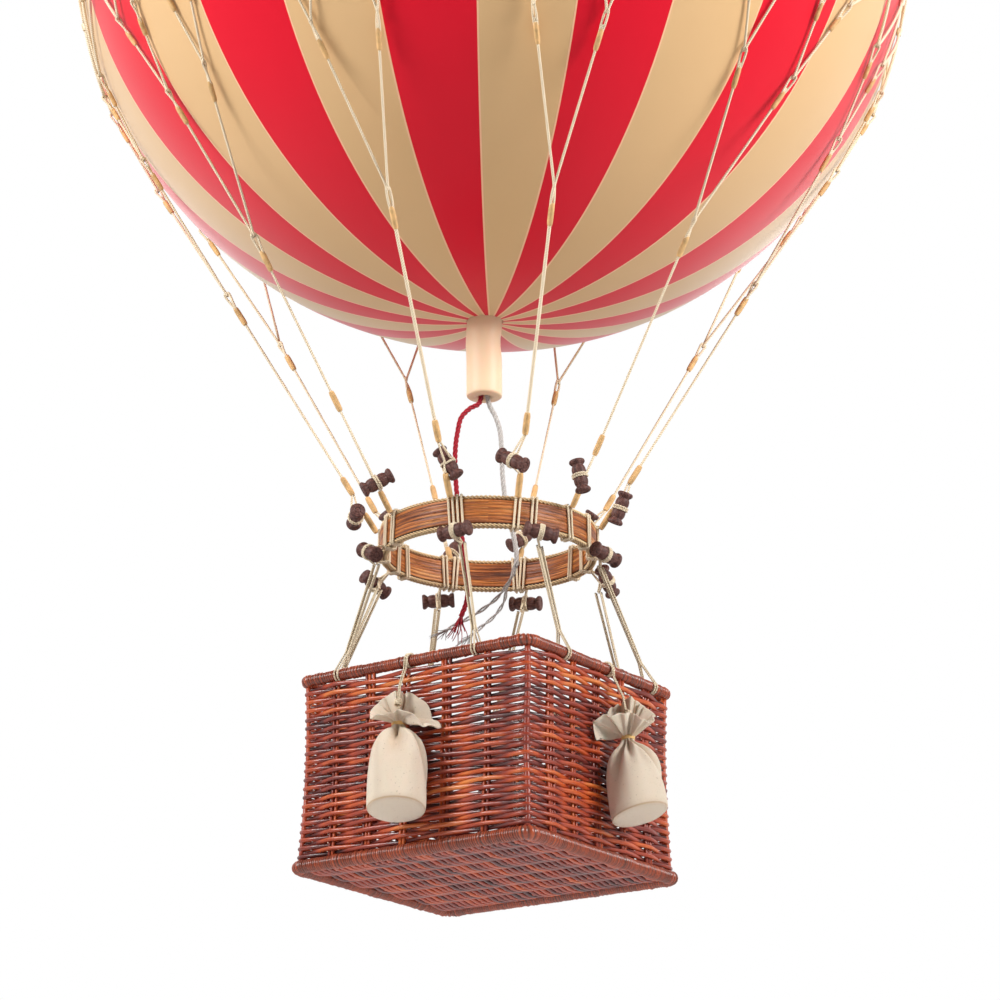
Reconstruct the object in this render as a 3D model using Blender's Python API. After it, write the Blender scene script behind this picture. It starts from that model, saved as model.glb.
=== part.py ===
"""A decorative scale model of a gas balloon that hangs from the loop at its crown.

Metres, +Z up. The origin is where a hook bears inside the hanging loop, and -Y is the front.
An azimuth is counted in degrees from the front towards +X.
"""

import math

import bmesh
import bpy
from mathutils import Matrix, Vector

# Gap between two pieces that touch
GAP = 0.0003

# Envelope: a hollow sphere under the hanging loop
ENVELOPE_RADIUS = 0.2125
ENVELOPE_SHELL = 0.010
LOOP_HEIGHT = 0.030
CENTRE_Z = -LOOP_HEIGHT - ENVELOPE_RADIUS
MOUTH_RADIUS = 0.0091
ENVELOPE_STEPS = 18
ENVELOPE_SEGMENTS = 32

# Crown: cord grommet on the envelope, and the hanging loop that stands in it
CROWN_RING_RADIUS = 0.0120
CROWN_RING_CORD = 0.0025
COLLAR_RADIUS = 0.0045
COLLAR_HEIGHT = 0.0080
LOOP_CORD = 0.0015
LOOP_WIDTH = 0.0160

# Neck tube at the bottom of the envelope, a little off the middle
NECK_X = -0.0025
NECK_RADIUS = 0.00875
NECK_BORE = 0.0032
NECK_TOP_Z = CENTRE_Z - 0.1985
NECK_BOTTOM_Z = CENTRE_Z - 0.2520
NECK_CHAMFER = 0.0030

# Load ring: a bent wooden band with a cord on each edge
RING_OUTER = 0.0523
RING_WALL = 0.0040
RING_TOP_Z = CENTRE_Z - 0.3220
RING_HEIGHT = 0.0120
RING_BOTTOM_Z = RING_TOP_Z - RING_HEIGHT
PIPING = 0.0008

# Basket: a woven box, its plan turned to the front, between a rim roll and a border roll
BASKET_TURN = math.radians(-35.7)
RIM_Z = CENTRE_Z - 0.3996
RIM_HALF = (0.06477, 0.05813)
RIM_ROLL = 0.00285
BORDER_Z = CENTRE_Z - 0.4889
BORDER_HALF = (0.06602, 0.05944)
BORDER_ROLL = 0.0033
WALL = 0.0034
WALL_WAIST = 0.0012
BASE_THICKNESS = 0.0040
ROLL_CORNER = 0.0042
NOTCH_FOR_CORD = 0.0026
NOTCH_FOR_BAG = 0.0015

# Net cords from the envelope to the load ring, and cords from there to the basket
NET_CORD = 0.0010
EYE_RADIUS = 0.131
EYE_Z = CENTRE_Z - 0.196
ARM_SPREAD = 6.5
WHIPPING_RADIUS = 0.0019
WHIPPING_LENGTH = 0.011
ARM_STEPS = 13
LINE_CORD = 0.0009
LASH_RADIUS = RING_OUTER + NET_CORD + GAP
LOOP_SIDES = 8
KNOT = 0.003

# Wooden toggles
TOGGLE_LENGTH = 0.0160
TOGGLE_FLANGE = 0.0039
TOGGLE_BARREL = 0.0035
TOGGLE_THROAT = 0.0030

# Sandbags on cords looped over the basket's rim
BAG_RADIUS = 0.0134
BAG_BASE = 0.0115
BAG_SHOULDER = 0.0430
BAG_TIE = 0.0325
BAG_TIE_RADIUS = 0.0048
BAG_COLLAR = 0.0115
BAG_COLLAR_TOP = 0.0165
BAG_COLLAR_WIDE = 1.1
BAG_COLLAR_FLAT = 0.7
LANYARD = 0.0009

# Free cords that hang out of the neck
FREE_CORD = 0.0013

# Azimuths of the ten net cords
NET_AZIMUTHS = (-21, 13, 47, 85, 123, 164, 200, 236, 267, 301)

# Upper toggles. Columns: side of its net cord (1 towards +azimuth), height over the ring's top in mm,
# heading of the toggle's axis from +X, its tilt above the horizontal
UPPER_TOGGLES = (
    (1, 14, 0, -56),
    (-1, 16, -30, -30),
    (-1, 14, 5, -78),
    (-1, 12, 150, -66),
    (1, 12, 150, -50),
    (-1, 13, 200, -37),
    (-1, 11.5, 180, -55),
    (-1, 12, 35, -40),
    (1, 11, -80, 8),
    (1, 14, 0, 30),
)

# Basket cords. Columns: azimuth on the ring, basket side, place along that side in mm,
# depth of its toggle under the ring's top in mm, heading and tilt of the toggle's axis
BASKET_CORDS = (
    (-14.5, "front_left", 36, 19, -30, 4),
    (24.0, "front_right", -30, 19, 12, -12),
    (65.0, "front_right", 42, 19, 45, -11),
    (109.0, "back_right", 40, 20, 60, -40),
    (159.5, "back_right", -38, 19, -15, -3),
    (206.5, "back_left", 36, 19, 0, 4),
    (246.0, "back_left", -36, 19, 40, -25),
    (292.0, "front_left", -43, 19, -60, -25),
)

# Basket sides: name, axis of the outward normal, its sign
SIDES = (
    ("front_left", 1, -1),
    ("front_right", 0, 1),
    ("back_right", 1, 1),
    ("back_left", 0, -1),
)

# Sandbags, in mm: place along the side, how far the bag leans aside at LEAN_DEPTH, depth of its bottom
BAGS = {
    "front_left": (-1.9, 6.3, 76.5),
    "front_right": (5.2, 0.0, 73.0),
    "back_right": (2.0, -2.0, 75.0),
    "back_left": (-3.0, 2.0, 76.0),
}
LEAN_DEPTH = 64

# Middle line of a hanging bag: depth under the rim, distance out from the rim roll's middle, in mm
BAG_LINE = ((0, 4.05), (16, 10.1), (32.5, 10.1), (51, 14.2), (62, 15.8), (80, 16.6))

# Routes of the free cords, in mm from the envelope's centre, chosen by hand
RED_ROUTE = (
    (-4.1, 0.0, -247.0),
    (-4.1, 0.0, -252.0),
    (-5.4, -1.2, -256.0),
    (-9.5, -3.0, -259.0),
    (-13.6, -4.0, -264.0),
    (-15.2, -4.6, -271.0),
    (-16.2, -5.0, -279.0),
    (-16.4, -5.0, -289.0),
    (-15.6, -4.0, -301.0),
    (-14.2, -2.6, -314.0),
    (-12.4, -1.4, -327.0),
    (-10.6, -0.6, -340.0),
    (-9.6, -1.4, -350.0),
    (-10.4, -2.4, -358.0),
    (-12.8, -3.0, -365.0),
)
WHITE_ROUTE = (
    (-0.9, 0.0, -247.0),
    (-0.9, 0.0, -252.0),
    (0.4, 0.8, -256.5),
    (3.2, 1.0, -262.0),
    (5.4, 0.6, -270.0),
    (6.2, 0.2, -280.0),
    (6.6, 0.0, -291.0),
    (7.8, -0.2, -303.0),
    (10.0, 0.0, -315.0),
    (12.8, 0.8, -326.0),
    (13.6, 1.4, -336.0),
    (11.0, 2.0, -344.0),
    (5.0, 2.6, -353.0),
    (-2.6, 3.0, -359.5),
    (-11.0, 3.2, -365.0),
    (-20.0, 3.2, -370.0),
)

# Finishes: colour, roughness
FINISHES = {
    "painted_shell": ((0.72, 0.03, 0.05), 0.42),
    "neck_plastic": ((0.82, 0.60, 0.38), 0.35),
    "bent_wood": ((0.42, 0.16, 0.05), 0.55),
    "dark_wood": ((0.07, 0.03, 0.025), 0.45),
    "cord": ((0.70, 0.55, 0.34), 0.85),
    "wicker": ((0.32, 0.07, 0.03), 0.40),
    "calico": ((0.72, 0.62, 0.46), 0.90),
    "red_cord": ((0.45, 0.01, 0.04), 0.80),
    "white_cord": ((0.68, 0.65, 0.60), 0.85),
}


def finish(name):
    found = bpy.data.materials.get(name)
    if found:
        return found
    colour, roughness = FINISHES[name]
    made = bpy.data.materials.new(name)
    made.use_nodes = True
    shader = made.node_tree.nodes["Principled BSDF"]
    shader.inputs["Base Color"].default_value = (*colour, 1.0)
    shader.inputs["Roughness"].default_value = roughness
    shader.inputs["Metallic"].default_value = 0.0
    made.diffuse_color = (*colour, 1.0)
    return made


def add(name, data, finish_name, place=(0, 0, 0), turn=(0, 0, 0)):
    made = bpy.data.objects.new(name, data)
    made.location = place
    made.rotation_euler = turn
    if not data.materials:
        data.materials.append(finish(finish_name))
    bpy.context.scene.collection.objects.link(made)
    return made


def polar(radius, azimuth, z):
    """The point at this radius and azimuth, at height z."""
    angle = math.radians(azimuth)
    return Vector((radius * math.sin(angle), -radius * math.cos(angle), z))


def mesh_of(name, bm, smooth=True):
    bmesh.ops.recalc_face_normals(bm, faces=bm.faces)
    mesh = bpy.data.meshes.new(name)
    bm.to_mesh(mesh)
    bm.free()
    if smooth:
        mesh.shade_smooth()
        mesh.set_sharp_from_angle(angle=math.radians(40))
    return mesh


def turned(name, profile, segments, closed):
    """A profile of (radius, z) turned about Z. An open profile starts and ends on the axis."""
    bm = bmesh.new()
    rings = []
    for radius, z in profile:
        count = segments if radius > 0 else 1
        ring = []
        for step in range(count):
            angle = 2 * math.pi * step / segments
            ring.append(bm.verts.new((radius * math.cos(angle), radius * math.sin(angle), z)))
        rings.append(ring)
    pairs = zip(rings, rings[1:] + rings[:1] if closed else rings[1:])
    for low, high in pairs:
        for step in range(segments if len(low) + len(high) > 2 else 0):
            after = (step + 1) % segments
            corners = [low[step % len(low)], low[after % len(low)]]
            corners += [high[after % len(high)], high[step % len(high)]]
            bm.faces.new(list(dict.fromkeys(corners)))
    return mesh_of(name, bm)


def tube(name, points, radius, sides=6, cyclic=False):
    """A round cord along these points, as a curve with filled caps."""
    curve = bpy.data.curves.new(name, "CURVE")
    curve.dimensions = "3D"
    curve.bevel_depth = radius
    curve.bevel_resolution = sides // 2 - 2
    curve.use_fill_caps = not cyclic
    spline = curve.splines.new("POLY")
    spline.points.add(len(points) - 1)
    for point, where in zip(spline.points, points):
        point.co = (*where, 1.0)
    spline.use_cyclic_u = cyclic
    return curve


def arc(centre, start, axis, degrees, steps):
    """Points on a circle about centre, from start, turning about axis."""
    points = []
    for step in range(steps + 1):
        turn = Matrix.Rotation(math.radians(degrees * step / steps), 3, axis)
        points.append(centre + turn @ (start - centre))
    return points


def smooth_route(points, spacing):
    """Points at an even spacing on a smooth curve through the given points."""
    points = [Vector(point) for point in points]
    ends = [2 * points[0] - points[1]] + points + [2 * points[-1] - points[-2]]
    fine = [points[0]]
    for index in range(1, len(ends) - 2):
        a, b, c, d = ends[index - 1 : index + 3]
        for step in range(1, 13):
            t = step / 12
            part = 2 * b + (c - a) * t
            part += (2 * a - 5 * b + 4 * c - d) * t * t
            part += (3 * b - a - 3 * c + d) * t * t * t
            fine.append(part / 2)
    lengths = [0.0]
    for before, after in zip(fine, fine[1:]):
        lengths.append(lengths[-1] + (after - before).length)
    count = max(2, round(lengths[-1] / spacing))
    route = []
    index = 0
    for step in range(count + 1):
        wanted = lengths[-1] * step / count
        while index < len(fine) - 2 and lengths[index + 1] < wanted:
            index += 1
        share = (wanted - lengths[index]) / (lengths[index + 1] - lengths[index])
        route.append(fine[index].lerp(fine[index + 1], share))
    return route


def fused(name, datas, finish_name):
    """One closed mesh made of overlapping curves and meshes, by Boolean unions."""
    helpers = [bpy.data.objects.new(f"{name}_{index}", data) for index, data in enumerate(datas)]
    scene_objects = bpy.context.scene.collection.objects
    solids = []
    for helper in helpers:
        scene_objects.link(helper)
    graph = bpy.context.evaluated_depsgraph_get()
    for index, helper in enumerate(helpers):
        mesh = bpy.data.meshes.new_from_object(helper.evaluated_get(graph))
        mesh.materials.clear()
        bm = bmesh.new()
        bm.from_mesh(mesh)
        bmesh.ops.remove_doubles(bm, verts=bm.verts, dist=1e-6)
        bmesh.ops.recalc_face_normals(bm, faces=bm.faces)
        bm.to_mesh(mesh)
        bm.free()
        solid = bpy.data.objects.new(f"{name}_solid_{index}", mesh)
        scene_objects.link(solid)
        solids.append(solid)
        if index:
            union = solids[0].modifiers.new(f"union_{index}", "BOOLEAN")
            union.operation = "UNION"
            union.solver = "EXACT"
            union.object = solid
    bpy.context.view_layer.update()
    graph = bpy.context.evaluated_depsgraph_get()
    whole = bpy.data.meshes.new_from_object(solids[0].evaluated_get(graph))
    whole.name = name
    whole.materials.clear()
    whole.materials.append(finish(finish_name))
    whole.shade_smooth()
    whole.set_sharp_from_angle(angle=math.radians(40))
    for used in helpers + solids:
        bpy.data.objects.remove(used)
    return whole


def rod(start, end, radius, sides=8):
    """A short straight cylinder between two points."""
    return tube("rod", [start, end], radius, sides)


def make_envelope():
    inner = ENVELOPE_RADIUS - ENVELOPE_SHELL
    profile = []
    for radius in (ENVELOPE_RADIUS, inner):
        mouth = math.asin(MOUTH_RADIUS / radius)
        side = []
        for step in range(ENVELOPE_STEPS):
            angle = mouth + (math.pi - mouth) * step / ENVELOPE_STEPS
            side.append((radius * math.sin(angle), -radius * math.cos(angle)))
        side.append((0.0, radius))
        profile += side if radius > inner else side[::-1]
    mesh = turned("envelope", profile, ENVELOPE_SEGMENTS, True)
    for vert in mesh.vertices:
        if vert.co.z < 0 and math.hypot(vert.co.x, vert.co.y) < MOUTH_RADIUS + GAP:
            vert.co.x += NECK_X
    add("envelope", mesh, "painted_shell", (0, 0, CENTRE_Z))


def make_crown():
    lift = ENVELOPE_RADIUS + CROWN_RING_CORD + GAP
    ring_z = CENTRE_Z + math.sqrt(lift**2 - CROWN_RING_RADIUS**2)
    ring = [polar(CROWN_RING_RADIUS, 15 * step, ring_z) for step in range(24)]
    add("crown_ring", tube("crown_ring", ring, CROWN_RING_CORD, 8, True), "cord")
    foot_z = CENTRE_Z + ENVELOPE_RADIUS + GAP
    collar_z = foot_z + COLLAR_HEIGHT
    half = LOOP_WIDTH / 2
    arch_z = LOOP_CORD - half
    side = Vector((half, 0, arch_z))
    arch = arc(Vector((0, 0, arch_z)), side, "Y", -180, 12)
    legs = [Vector((0.0016, 0, foot_z + 0.004)), Vector((0.0022, 0, collar_z + 0.001))]
    legs.append(Vector((0.0058, 0, collar_z + 0.006)))
    mirrored = [Vector((-point.x, point.y, point.z)) for point in reversed(legs)]
    loop = tube("loop", legs + arch + mirrored, LOOP_CORD, 8)
    profile = (
        (0.0, foot_z),
        (COLLAR_RADIUS - 0.0008, foot_z),
        (COLLAR_RADIUS, foot_z + 0.0008),
        (COLLAR_RADIUS, collar_z - 0.0012),
        (COLLAR_RADIUS - 0.0012, collar_z),
        (0.0, collar_z),
    )
    collar = turned("collar", profile, 20, False)
    add("hanging_loop", fused("hanging_loop", [collar, loop], "cord"), "cord")


def make_neck():
    profile = (
        (NECK_BORE, NECK_TOP_Z),
        (NECK_BORE, NECK_BOTTOM_Z),
        (NECK_RADIUS - NECK_CHAMFER, NECK_BOTTOM_Z),
        (NECK_RADIUS - NECK_CHAMFER * 0.3, NECK_BOTTOM_Z + NECK_CHAMFER * 0.35),
        (NECK_RADIUS, NECK_BOTTOM_Z + NECK_CHAMFER),
        (NECK_RADIUS, NECK_TOP_Z),
    )
    add("neck_tube", turned("neck_tube", profile, 24, True), "neck_plastic", (NECK_X, 0, 0))


def make_load_ring():
    inner = RING_OUTER - RING_WALL
    edge = 0.0008
    profile = (
        (inner, RING_BOTTOM_Z + edge),
        (inner + edge, RING_BOTTOM_Z),
        (RING_OUTER - edge, RING_BOTTOM_Z),
        (RING_OUTER, RING_BOTTOM_Z + edge),
        (RING_OUTER, RING_TOP_Z - edge),
        (RING_OUTER - edge, RING_TOP_Z),
        (inner + edge, RING_TOP_Z),
        (inner, RING_TOP_Z - edge),
    )
    add("load_ring", turned("load_ring", profile, 48, True), "bent_wood")
    middle = RING_OUTER - RING_WALL / 2
    levels = (
        ("ring_cord_upper", RING_TOP_Z + PIPING + GAP),
        ("ring_cord_lower", RING_BOTTOM_Z - PIPING - GAP),
    )
    for name, z in levels:
        points = [polar(middle, 7.5 * step, z) for step in range(48)]
        add(name, tube(name, points, PIPING, 6, True), "cord")


def net_route(spread):
    """One arm of the net cord at azimuth 0, from its eye to where it meets the envelope, and up to the crown.

    Its straight runs clear the envelope at their middles.
    """
    lift = ENVELOPE_RADIUS + NET_CORD + GAP
    reach = (EYE_RADIUS * math.cos(math.radians(spread)), EYE_Z - CENTRE_Z)
    start_angle = math.atan2(reach[1], reach[0]) + math.acos(lift / math.hypot(*reach))
    end_angle = math.acos((CROWN_RING_RADIUS + CROWN_RING_CORD + NET_CORD + 2 * GAP) / lift)
    lift /= math.cos((end_angle - start_angle) / ARM_STEPS / 2)
    points = [polar(EYE_RADIUS, 0, EYE_Z)]
    for step in range(ARM_STEPS + 1):
        share = step / ARM_STEPS
        angle = start_angle + (end_angle - start_angle) * share
        azimuth = spread + (9.0 * (1 if spread > 0 else -1) - spread) * min(1.0, share * 3)
        points.append(polar(lift * math.cos(angle), azimuth, CENTRE_Z + lift * math.sin(angle)))
    return points


def leg_direction():
    foot = Vector((0, -LASH_RADIUS, RING_TOP_Z))
    return (Vector((0, -EYE_RADIUS, EYE_Z)) - foot).normalized()


def make_net():
    eye = Vector((0, -EYE_RADIUS, EYE_Z))
    foot = Vector((0, -LASH_RADIUS, RING_TOP_Z))
    end = Vector((0, -LASH_RADIUS, RING_TOP_Z - RING_HEIGHT / 2 + GAP))
    lower = tube("lower", [end, foot, eye], NET_CORD, 6)
    slope = leg_direction()
    whipping = rod(eye - slope * WHIPPING_LENGTH, eye + slope * 0.002, WHIPPING_RADIUS)
    arms = [tube("arm", net_route(side * ARM_SPREAD), NET_CORD, 6) for side in (1, -1)]
    mesh = fused("net_cord", [whipping, lower] + arms, "cord")
    for number, azimuth in enumerate(NET_AZIMUTHS, 1):
        turn = (0, 0, math.radians(azimuth))
        add(f"net_cord_{number:02d}", mesh, "cord", (0, 0, 0), turn)


def toggle_mesh():
    half = TOGGLE_LENGTH / 2
    side = (
        (TOGGLE_FLANGE - 0.0007, half),
        (TOGGLE_FLANGE, half - 0.0007),
        (TOGGLE_FLANGE, half - 0.0020),
        (TOGGLE_THROAT, half - 0.0036),
        (TOGGLE_BARREL, 0.0020),
    )
    profile = [(0.0, half)] + list(side)
    profile += [(radius, -z) for radius, z in reversed(side)] + [(0.0, -half)]
    return turned("toggle", list(reversed(profile)), 10, False)


def toggle_turn(heading, tilt):
    """The turn that lays the toggle's own Z along this heading and tilt."""
    level = math.radians(tilt)
    flat = math.radians(heading)
    along = Vector((math.cos(flat) * math.cos(level), math.sin(flat) * math.cos(level), math.sin(level)))
    return along, along.to_track_quat("Z", "Y").to_euler()


def beside(cord_point, cord_direction, along, side, cord_radius):
    """Where a toggle's middle lies so that its barrel touches the cord, on the given side of it."""
    away = cord_direction.cross(along).normalized()
    if away.dot(side) < 0:
        away = -away
    return cord_point + away * (TOGGLE_BARREL + cord_radius + GAP)


def make_toggles():
    mesh = toggle_mesh()
    slope = leg_direction()
    rows = zip(NET_AZIMUTHS, UPPER_TOGGLES)
    for number, (azimuth, (side, height, heading, tilt)) in enumerate(rows, 1):
        turn = Matrix.Rotation(math.radians(azimuth), 3, "Z")
        rise = height / 1000 / slope.z
        point = turn @ (Vector((0, -LASH_RADIUS, RING_TOP_Z)) + slope * rise)
        along, angles = toggle_turn(heading, tilt)
        place = beside(point, turn @ slope, along, side * polar(1, azimuth + 90, 0), NET_CORD)
        add(f"upper_toggle_{number:02d}", mesh, "dark_wood", place, angles)
    for number, row in enumerate(BASKET_CORDS, 1):
        azimuth, side_name, along_side, depth, heading, tilt = row
        top, bottom = cord_ends(azimuth, side_name, along_side)
        slope = (bottom - top).normalized()
        point = cord_middle(top, bottom, depth)
        along, angles = toggle_turn(heading, tilt)
        place = beside(point, slope, along, polar(1, azimuth, 0), WHIPPING_RADIUS)
        add(f"lower_toggle_{number}", mesh, "dark_wood", place, angles)


def side_frame(side_name):
    """The outward normal and the direction along this basket side, at its real turn."""
    for name, axis, sign in SIDES:
        if name == side_name:
            normal = Vector((0, 0, 0))
            normal[axis] = sign
            along = Vector((1, 0, 0)) if axis == 1 else Vector((0, 1, 0))
            turn = Matrix.Rotation(BASKET_TURN, 3, "Z")
            return axis, turn @ normal, turn @ along
    raise ValueError(side_name)


def rim_point(side_name, along_side):
    """The middle of the rim roll at this place on a side."""
    axis, normal, along = side_frame(side_name)
    return normal * RIM_HALF[axis] + along * along_side / 1000 + Vector((0, 0, RIM_Z))


def cord_ends(azimuth, side_name, along_side):
    """Top and bottom of a basket cord's middle line."""
    return polar(LASH_RADIUS, azimuth, RING_BOTTOM_Z), rim_point(side_name, along_side)


def cord_middle(top, bottom, depth):
    """The point of a basket cord's middle line at this depth in mm under the ring's top."""
    share = (top.z - RING_TOP_Z + depth / 1000) / (top.z - bottom.z)
    return top.lerp(bottom, share)


def make_basket_cords():
    reach = RIM_ROLL + LINE_CORD + GAP
    for number, row in enumerate(BASKET_CORDS, 1):
        azimuth, side_name, along_side, depth = row[:4]
        axis, normal, along = side_frame(side_name)
        top, rim = cord_ends(azimuth, side_name, along_side)
        start = polar(LASH_RADIUS, azimuth, RING_TOP_Z - RING_HEIGHT / 2 - GAP)
        towards = (top - rim).normalized()
        flat_away = (towards - along * towards.dot(along)).normalized()
        spin = along if along.cross(flat_away).dot(normal) > 0 else -along
        outside = rim + (spin.cross(flat_away)).normalized() * reach
        loop = arc(rim, outside, spin, -180, LOOP_SIDES)
        if (loop[LOOP_SIDES // 2] - rim).dot(flat_away) > 0:
            loop = arc(rim, outside, spin, 180, LOOP_SIDES)
        split = cord_middle(top, rim, depth)
        near = split + normal * (LINE_CORD * 0.7)
        far = split - normal * (LINE_CORD * 0.7)
        outer = tube("outer", [start, top, near] + loop[: LOOP_SIDES // 2 + 1], LINE_CORD, 6)
        inner = tube("inner", [far] + list(reversed(loop[LOOP_SIDES // 2 :])), LINE_CORD, 6)
        name = f"basket_cord_{number}"
        knot = rod(split + towards * KNOT, split - towards * KNOT, WHIPPING_RADIUS)
        add(name, fused(name, [knot, outer, inner], "cord"), "cord")


def half_size(axis, z):
    """Half the basket's size between its wall middles at height z, a little drawn in at mid height."""
    share = (z - BORDER_Z) / (RIM_Z - BORDER_Z)
    straight = BORDER_HALF[axis] + (RIM_HALF[axis] - BORDER_HALF[axis]) * share
    return straight - WALL_WAIST * 4 * share * (1 - share)


def wall_notches(side_name):
    """The notches in a wall's top where cords pass: (middle, half width, floor)."""
    notches = []
    line_reach = RIM_ROLL + 2 * LINE_CORD + 2 * GAP
    bag_reach = RIM_ROLL + 2 * LANYARD + 2 * GAP
    for row in BASKET_CORDS:
        if row[1] == side_name:
            notches.append((row[2] / 1000, NOTCH_FOR_CORD, RIM_Z - line_reach - GAP))
    notches.append((BAGS[side_name][0] / 1000, NOTCH_FOR_BAG, RIM_Z - bag_reach - GAP))
    return sorted(notches)


def make_walls():
    z_top = RIM_Z - RIM_ROLL - GAP
    z_bottom = BORDER_Z + BORDER_ROLL + GAP
    z_middle = (z_top + z_bottom) / 2
    for side_name, axis, sign in SIDES:
        _, normal, along = side_frame(side_name)
        other = 1 - axis
        notches = wall_notches(side_name)

        def at(place, z, offset, corner=0):
            if corner:
                place = corner * (half_size(other, z) + offset - GAP)
            return normal * (half_size(axis, z) + offset) + along * place + Vector((0, 0, z))

        bm = bmesh.new()
        faces = []
        for offset in (WALL / 2, -WALL / 2):
            points = [at(0, z_bottom, offset, -1), at(0, z_bottom, offset, 1)]
            points += [at(0, z_middle, offset, 1), at(0, z_top, offset, 1)]
            for middle, half, floor in reversed(notches):
                points.append(at(middle + half, z_top, offset))
                points.append(at(middle + half, floor, offset))
                points.append(at(middle - half, floor, offset))
                points.append(at(middle - half, z_top, offset))
            points += [at(0, z_top, offset, -1), at(0, z_middle, offset, -1)]
            faces.append([bm.verts.new(point) for point in points])
        outer, inner = faces
        count = len(outer)
        low = [0, 1, 2, count - 1]
        high = list(range(2, count))
        for loop in faces:
            bm.faces.new([loop[index] for index in low])
            bm.faces.new([loop[index] for index in high])
        for index in range(count):
            after = (index + 1) % count
            bm.faces.new([outer[index], outer[after], inner[after], inner[index]])
        mesh = mesh_of(f"wall_{side_name}", bm, smooth=False)
        add(f"basket_wall_{side_name}", mesh, "wicker")


def rounded_rectangle(half, corner, z):
    """Points of a rectangle with round corners, at the basket's turn."""
    turn = Matrix.Rotation(BASKET_TURN, 3, "Z")
    points = []
    for quarter, (sx, sy) in enumerate(((1, 1), (-1, 1), (-1, -1), (1, -1))):
        centre = Vector((sx * (half[0] - corner), sy * (half[1] - corner), z))
        for step in range(5):
            angle = math.radians(90 * quarter + 22.5 * step)
            offset = Vector((math.cos(angle), math.sin(angle), 0)) * corner
            points.append(turn @ (centre + offset))
    return points


def make_basket():
    make_walls()
    rim = rounded_rectangle(RIM_HALF, ROLL_CORNER, RIM_Z)
    add("basket_rim_roll", tube("basket_rim_roll", rim, RIM_ROLL, 10, True), "wicker")
    border = rounded_rectangle(BORDER_HALF, ROLL_CORNER, BORDER_Z)
    add("basket_border_roll", tube("basket_border_roll", border, BORDER_ROLL, 10, True), "wicker")
    inset = BORDER_ROLL + GAP
    half = (BORDER_HALF[0] - inset, BORDER_HALF[1] - inset)
    outline = rounded_rectangle(half, ROLL_CORNER - inset + 0.0005, BORDER_Z - BASE_THICKNESS / 2)
    bm = bmesh.new()
    low = [bm.verts.new(point) for point in outline]
    bottom = bm.faces.new(low)
    lifted = bmesh.ops.extrude_face_region(bm, geom=[bottom])["geom"]
    verts = [item for item in lifted if isinstance(item, bmesh.types.BMVert)]
    bmesh.ops.translate(bm, verts=verts, vec=(0, 0, BASE_THICKNESS))
    add("basket_base", mesh_of("basket_base", bm, smooth=False), "wicker")


def bag_middle(depth, lean):
    """The middle of a hanging bag at this depth under its pivot, all in metres."""
    rows = zip(BAG_LINE, BAG_LINE[1:])
    for (high, out_high), (low, out_low) in rows:
        if depth * 1000 <= low:
            break
    share = (depth * 1000 - high) / (low - high)
    out = out_high + (out_low - out_high) * share
    return Vector((lean * depth * 1000 / LEAN_DEPTH, -out / 1000, -depth))


def bag_body(bottom, lean):
    """A filled bag with its mouth spread over the tie, hung along its middle line."""
    profile = (
        (0.0, -bottom),
        (BAG_BASE, -bottom),
        (BAG_RADIUS - 0.0004, -bottom + 0.004),
        (BAG_RADIUS, -bottom + 0.014),
        (BAG_RADIUS - 0.0012, -BAG_SHOULDER - 0.008),
        (BAG_RADIUS - 0.0050, -BAG_SHOULDER + 0.003),
        (BAG_TIE_RADIUS, -BAG_TIE - 0.002),
        (BAG_TIE_RADIUS, -BAG_TIE + 0.001),
        (BAG_COLLAR - 0.0020, -BAG_TIE + 0.008),
        (BAG_COLLAR, -BAG_COLLAR_TOP),
        (BAG_COLLAR - 0.0045, -BAG_COLLAR_TOP + 0.0015),
        (0.0, -BAG_COLLAR_TOP - 0.001),
    )
    body = turned("bag", profile, 16, False)
    for vert in body.vertices:
        middle = bag_middle(-vert.co.z, lean)
        over_tie = vert.co.z > -BAG_TIE + 0.002
        vert.co.x = middle.x + vert.co.x * (BAG_COLLAR_WIDE if over_tie else 1.0)
        vert.co.y = middle.y + vert.co.y * (BAG_COLLAR_FLAT if over_tie else 1.0)
    return body


def make_sandbags():
    reach = RIM_ROLL + LANYARD + GAP
    for side_name, axis, sign in SIDES:
        _, normal, along = side_frame(side_name)
        place, lean, bottom = BAGS[side_name]
        pivot = rim_point(side_name, place)
        body = bag_body(bottom / 1000, lean / 1000)
        ring = arc(Vector((0, 0, 0)), Vector((0, -reach, 0)), "X", 337.5, 15)
        loop = tube("loop", ring, LANYARD, 6, True)
        fall = [Vector((0, -reach, 0.001)), Vector((0, -reach - 0.0004, -0.006))]
        fall.append(bag_middle(BAG_COLLAR_TOP + 0.004, lean / 1000))
        fall.append(bag_middle(BAG_COLLAR_TOP + 0.008, lean / 1000))
        drop = tube("drop", fall, LANYARD, 6)
        name = f"sandbag_{side_name}"
        mesh = fused(name, [body, loop, drop], "calico")
        heading = math.atan2(normal.y, normal.x) + math.pi / 2
        pivot_empty = bpy.data.objects.new(f"pivot_{side_name}", None)
        pivot_empty.location = pivot
        pivot_empty.rotation_euler = (0, 0, heading)
        bpy.context.scene.collection.objects.link(pivot_empty)
        bag = add(name, mesh, "calico")
        bag.parent = pivot_empty


def make_free_cords():
    for name, route in (("red_cord", RED_ROUTE), ("white_cord", WHITE_ROUTE)):
        points = [Vector(point) / 1000 + Vector((0, 0, CENTRE_Z)) for point in route]
        smooth = smooth_route(points, 0.0045)
        add(name, tube(name, smooth, FREE_CORD, 8), name)


def main():
    for old in list(bpy.data.objects):
        bpy.data.objects.remove(old)
    make_envelope()
    make_crown()
    make_neck()
    make_load_ring()
    make_net()
    make_toggles()
    make_basket_cords()
    make_basket()
    make_sandbags()
    make_free_cords()


main()
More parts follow.
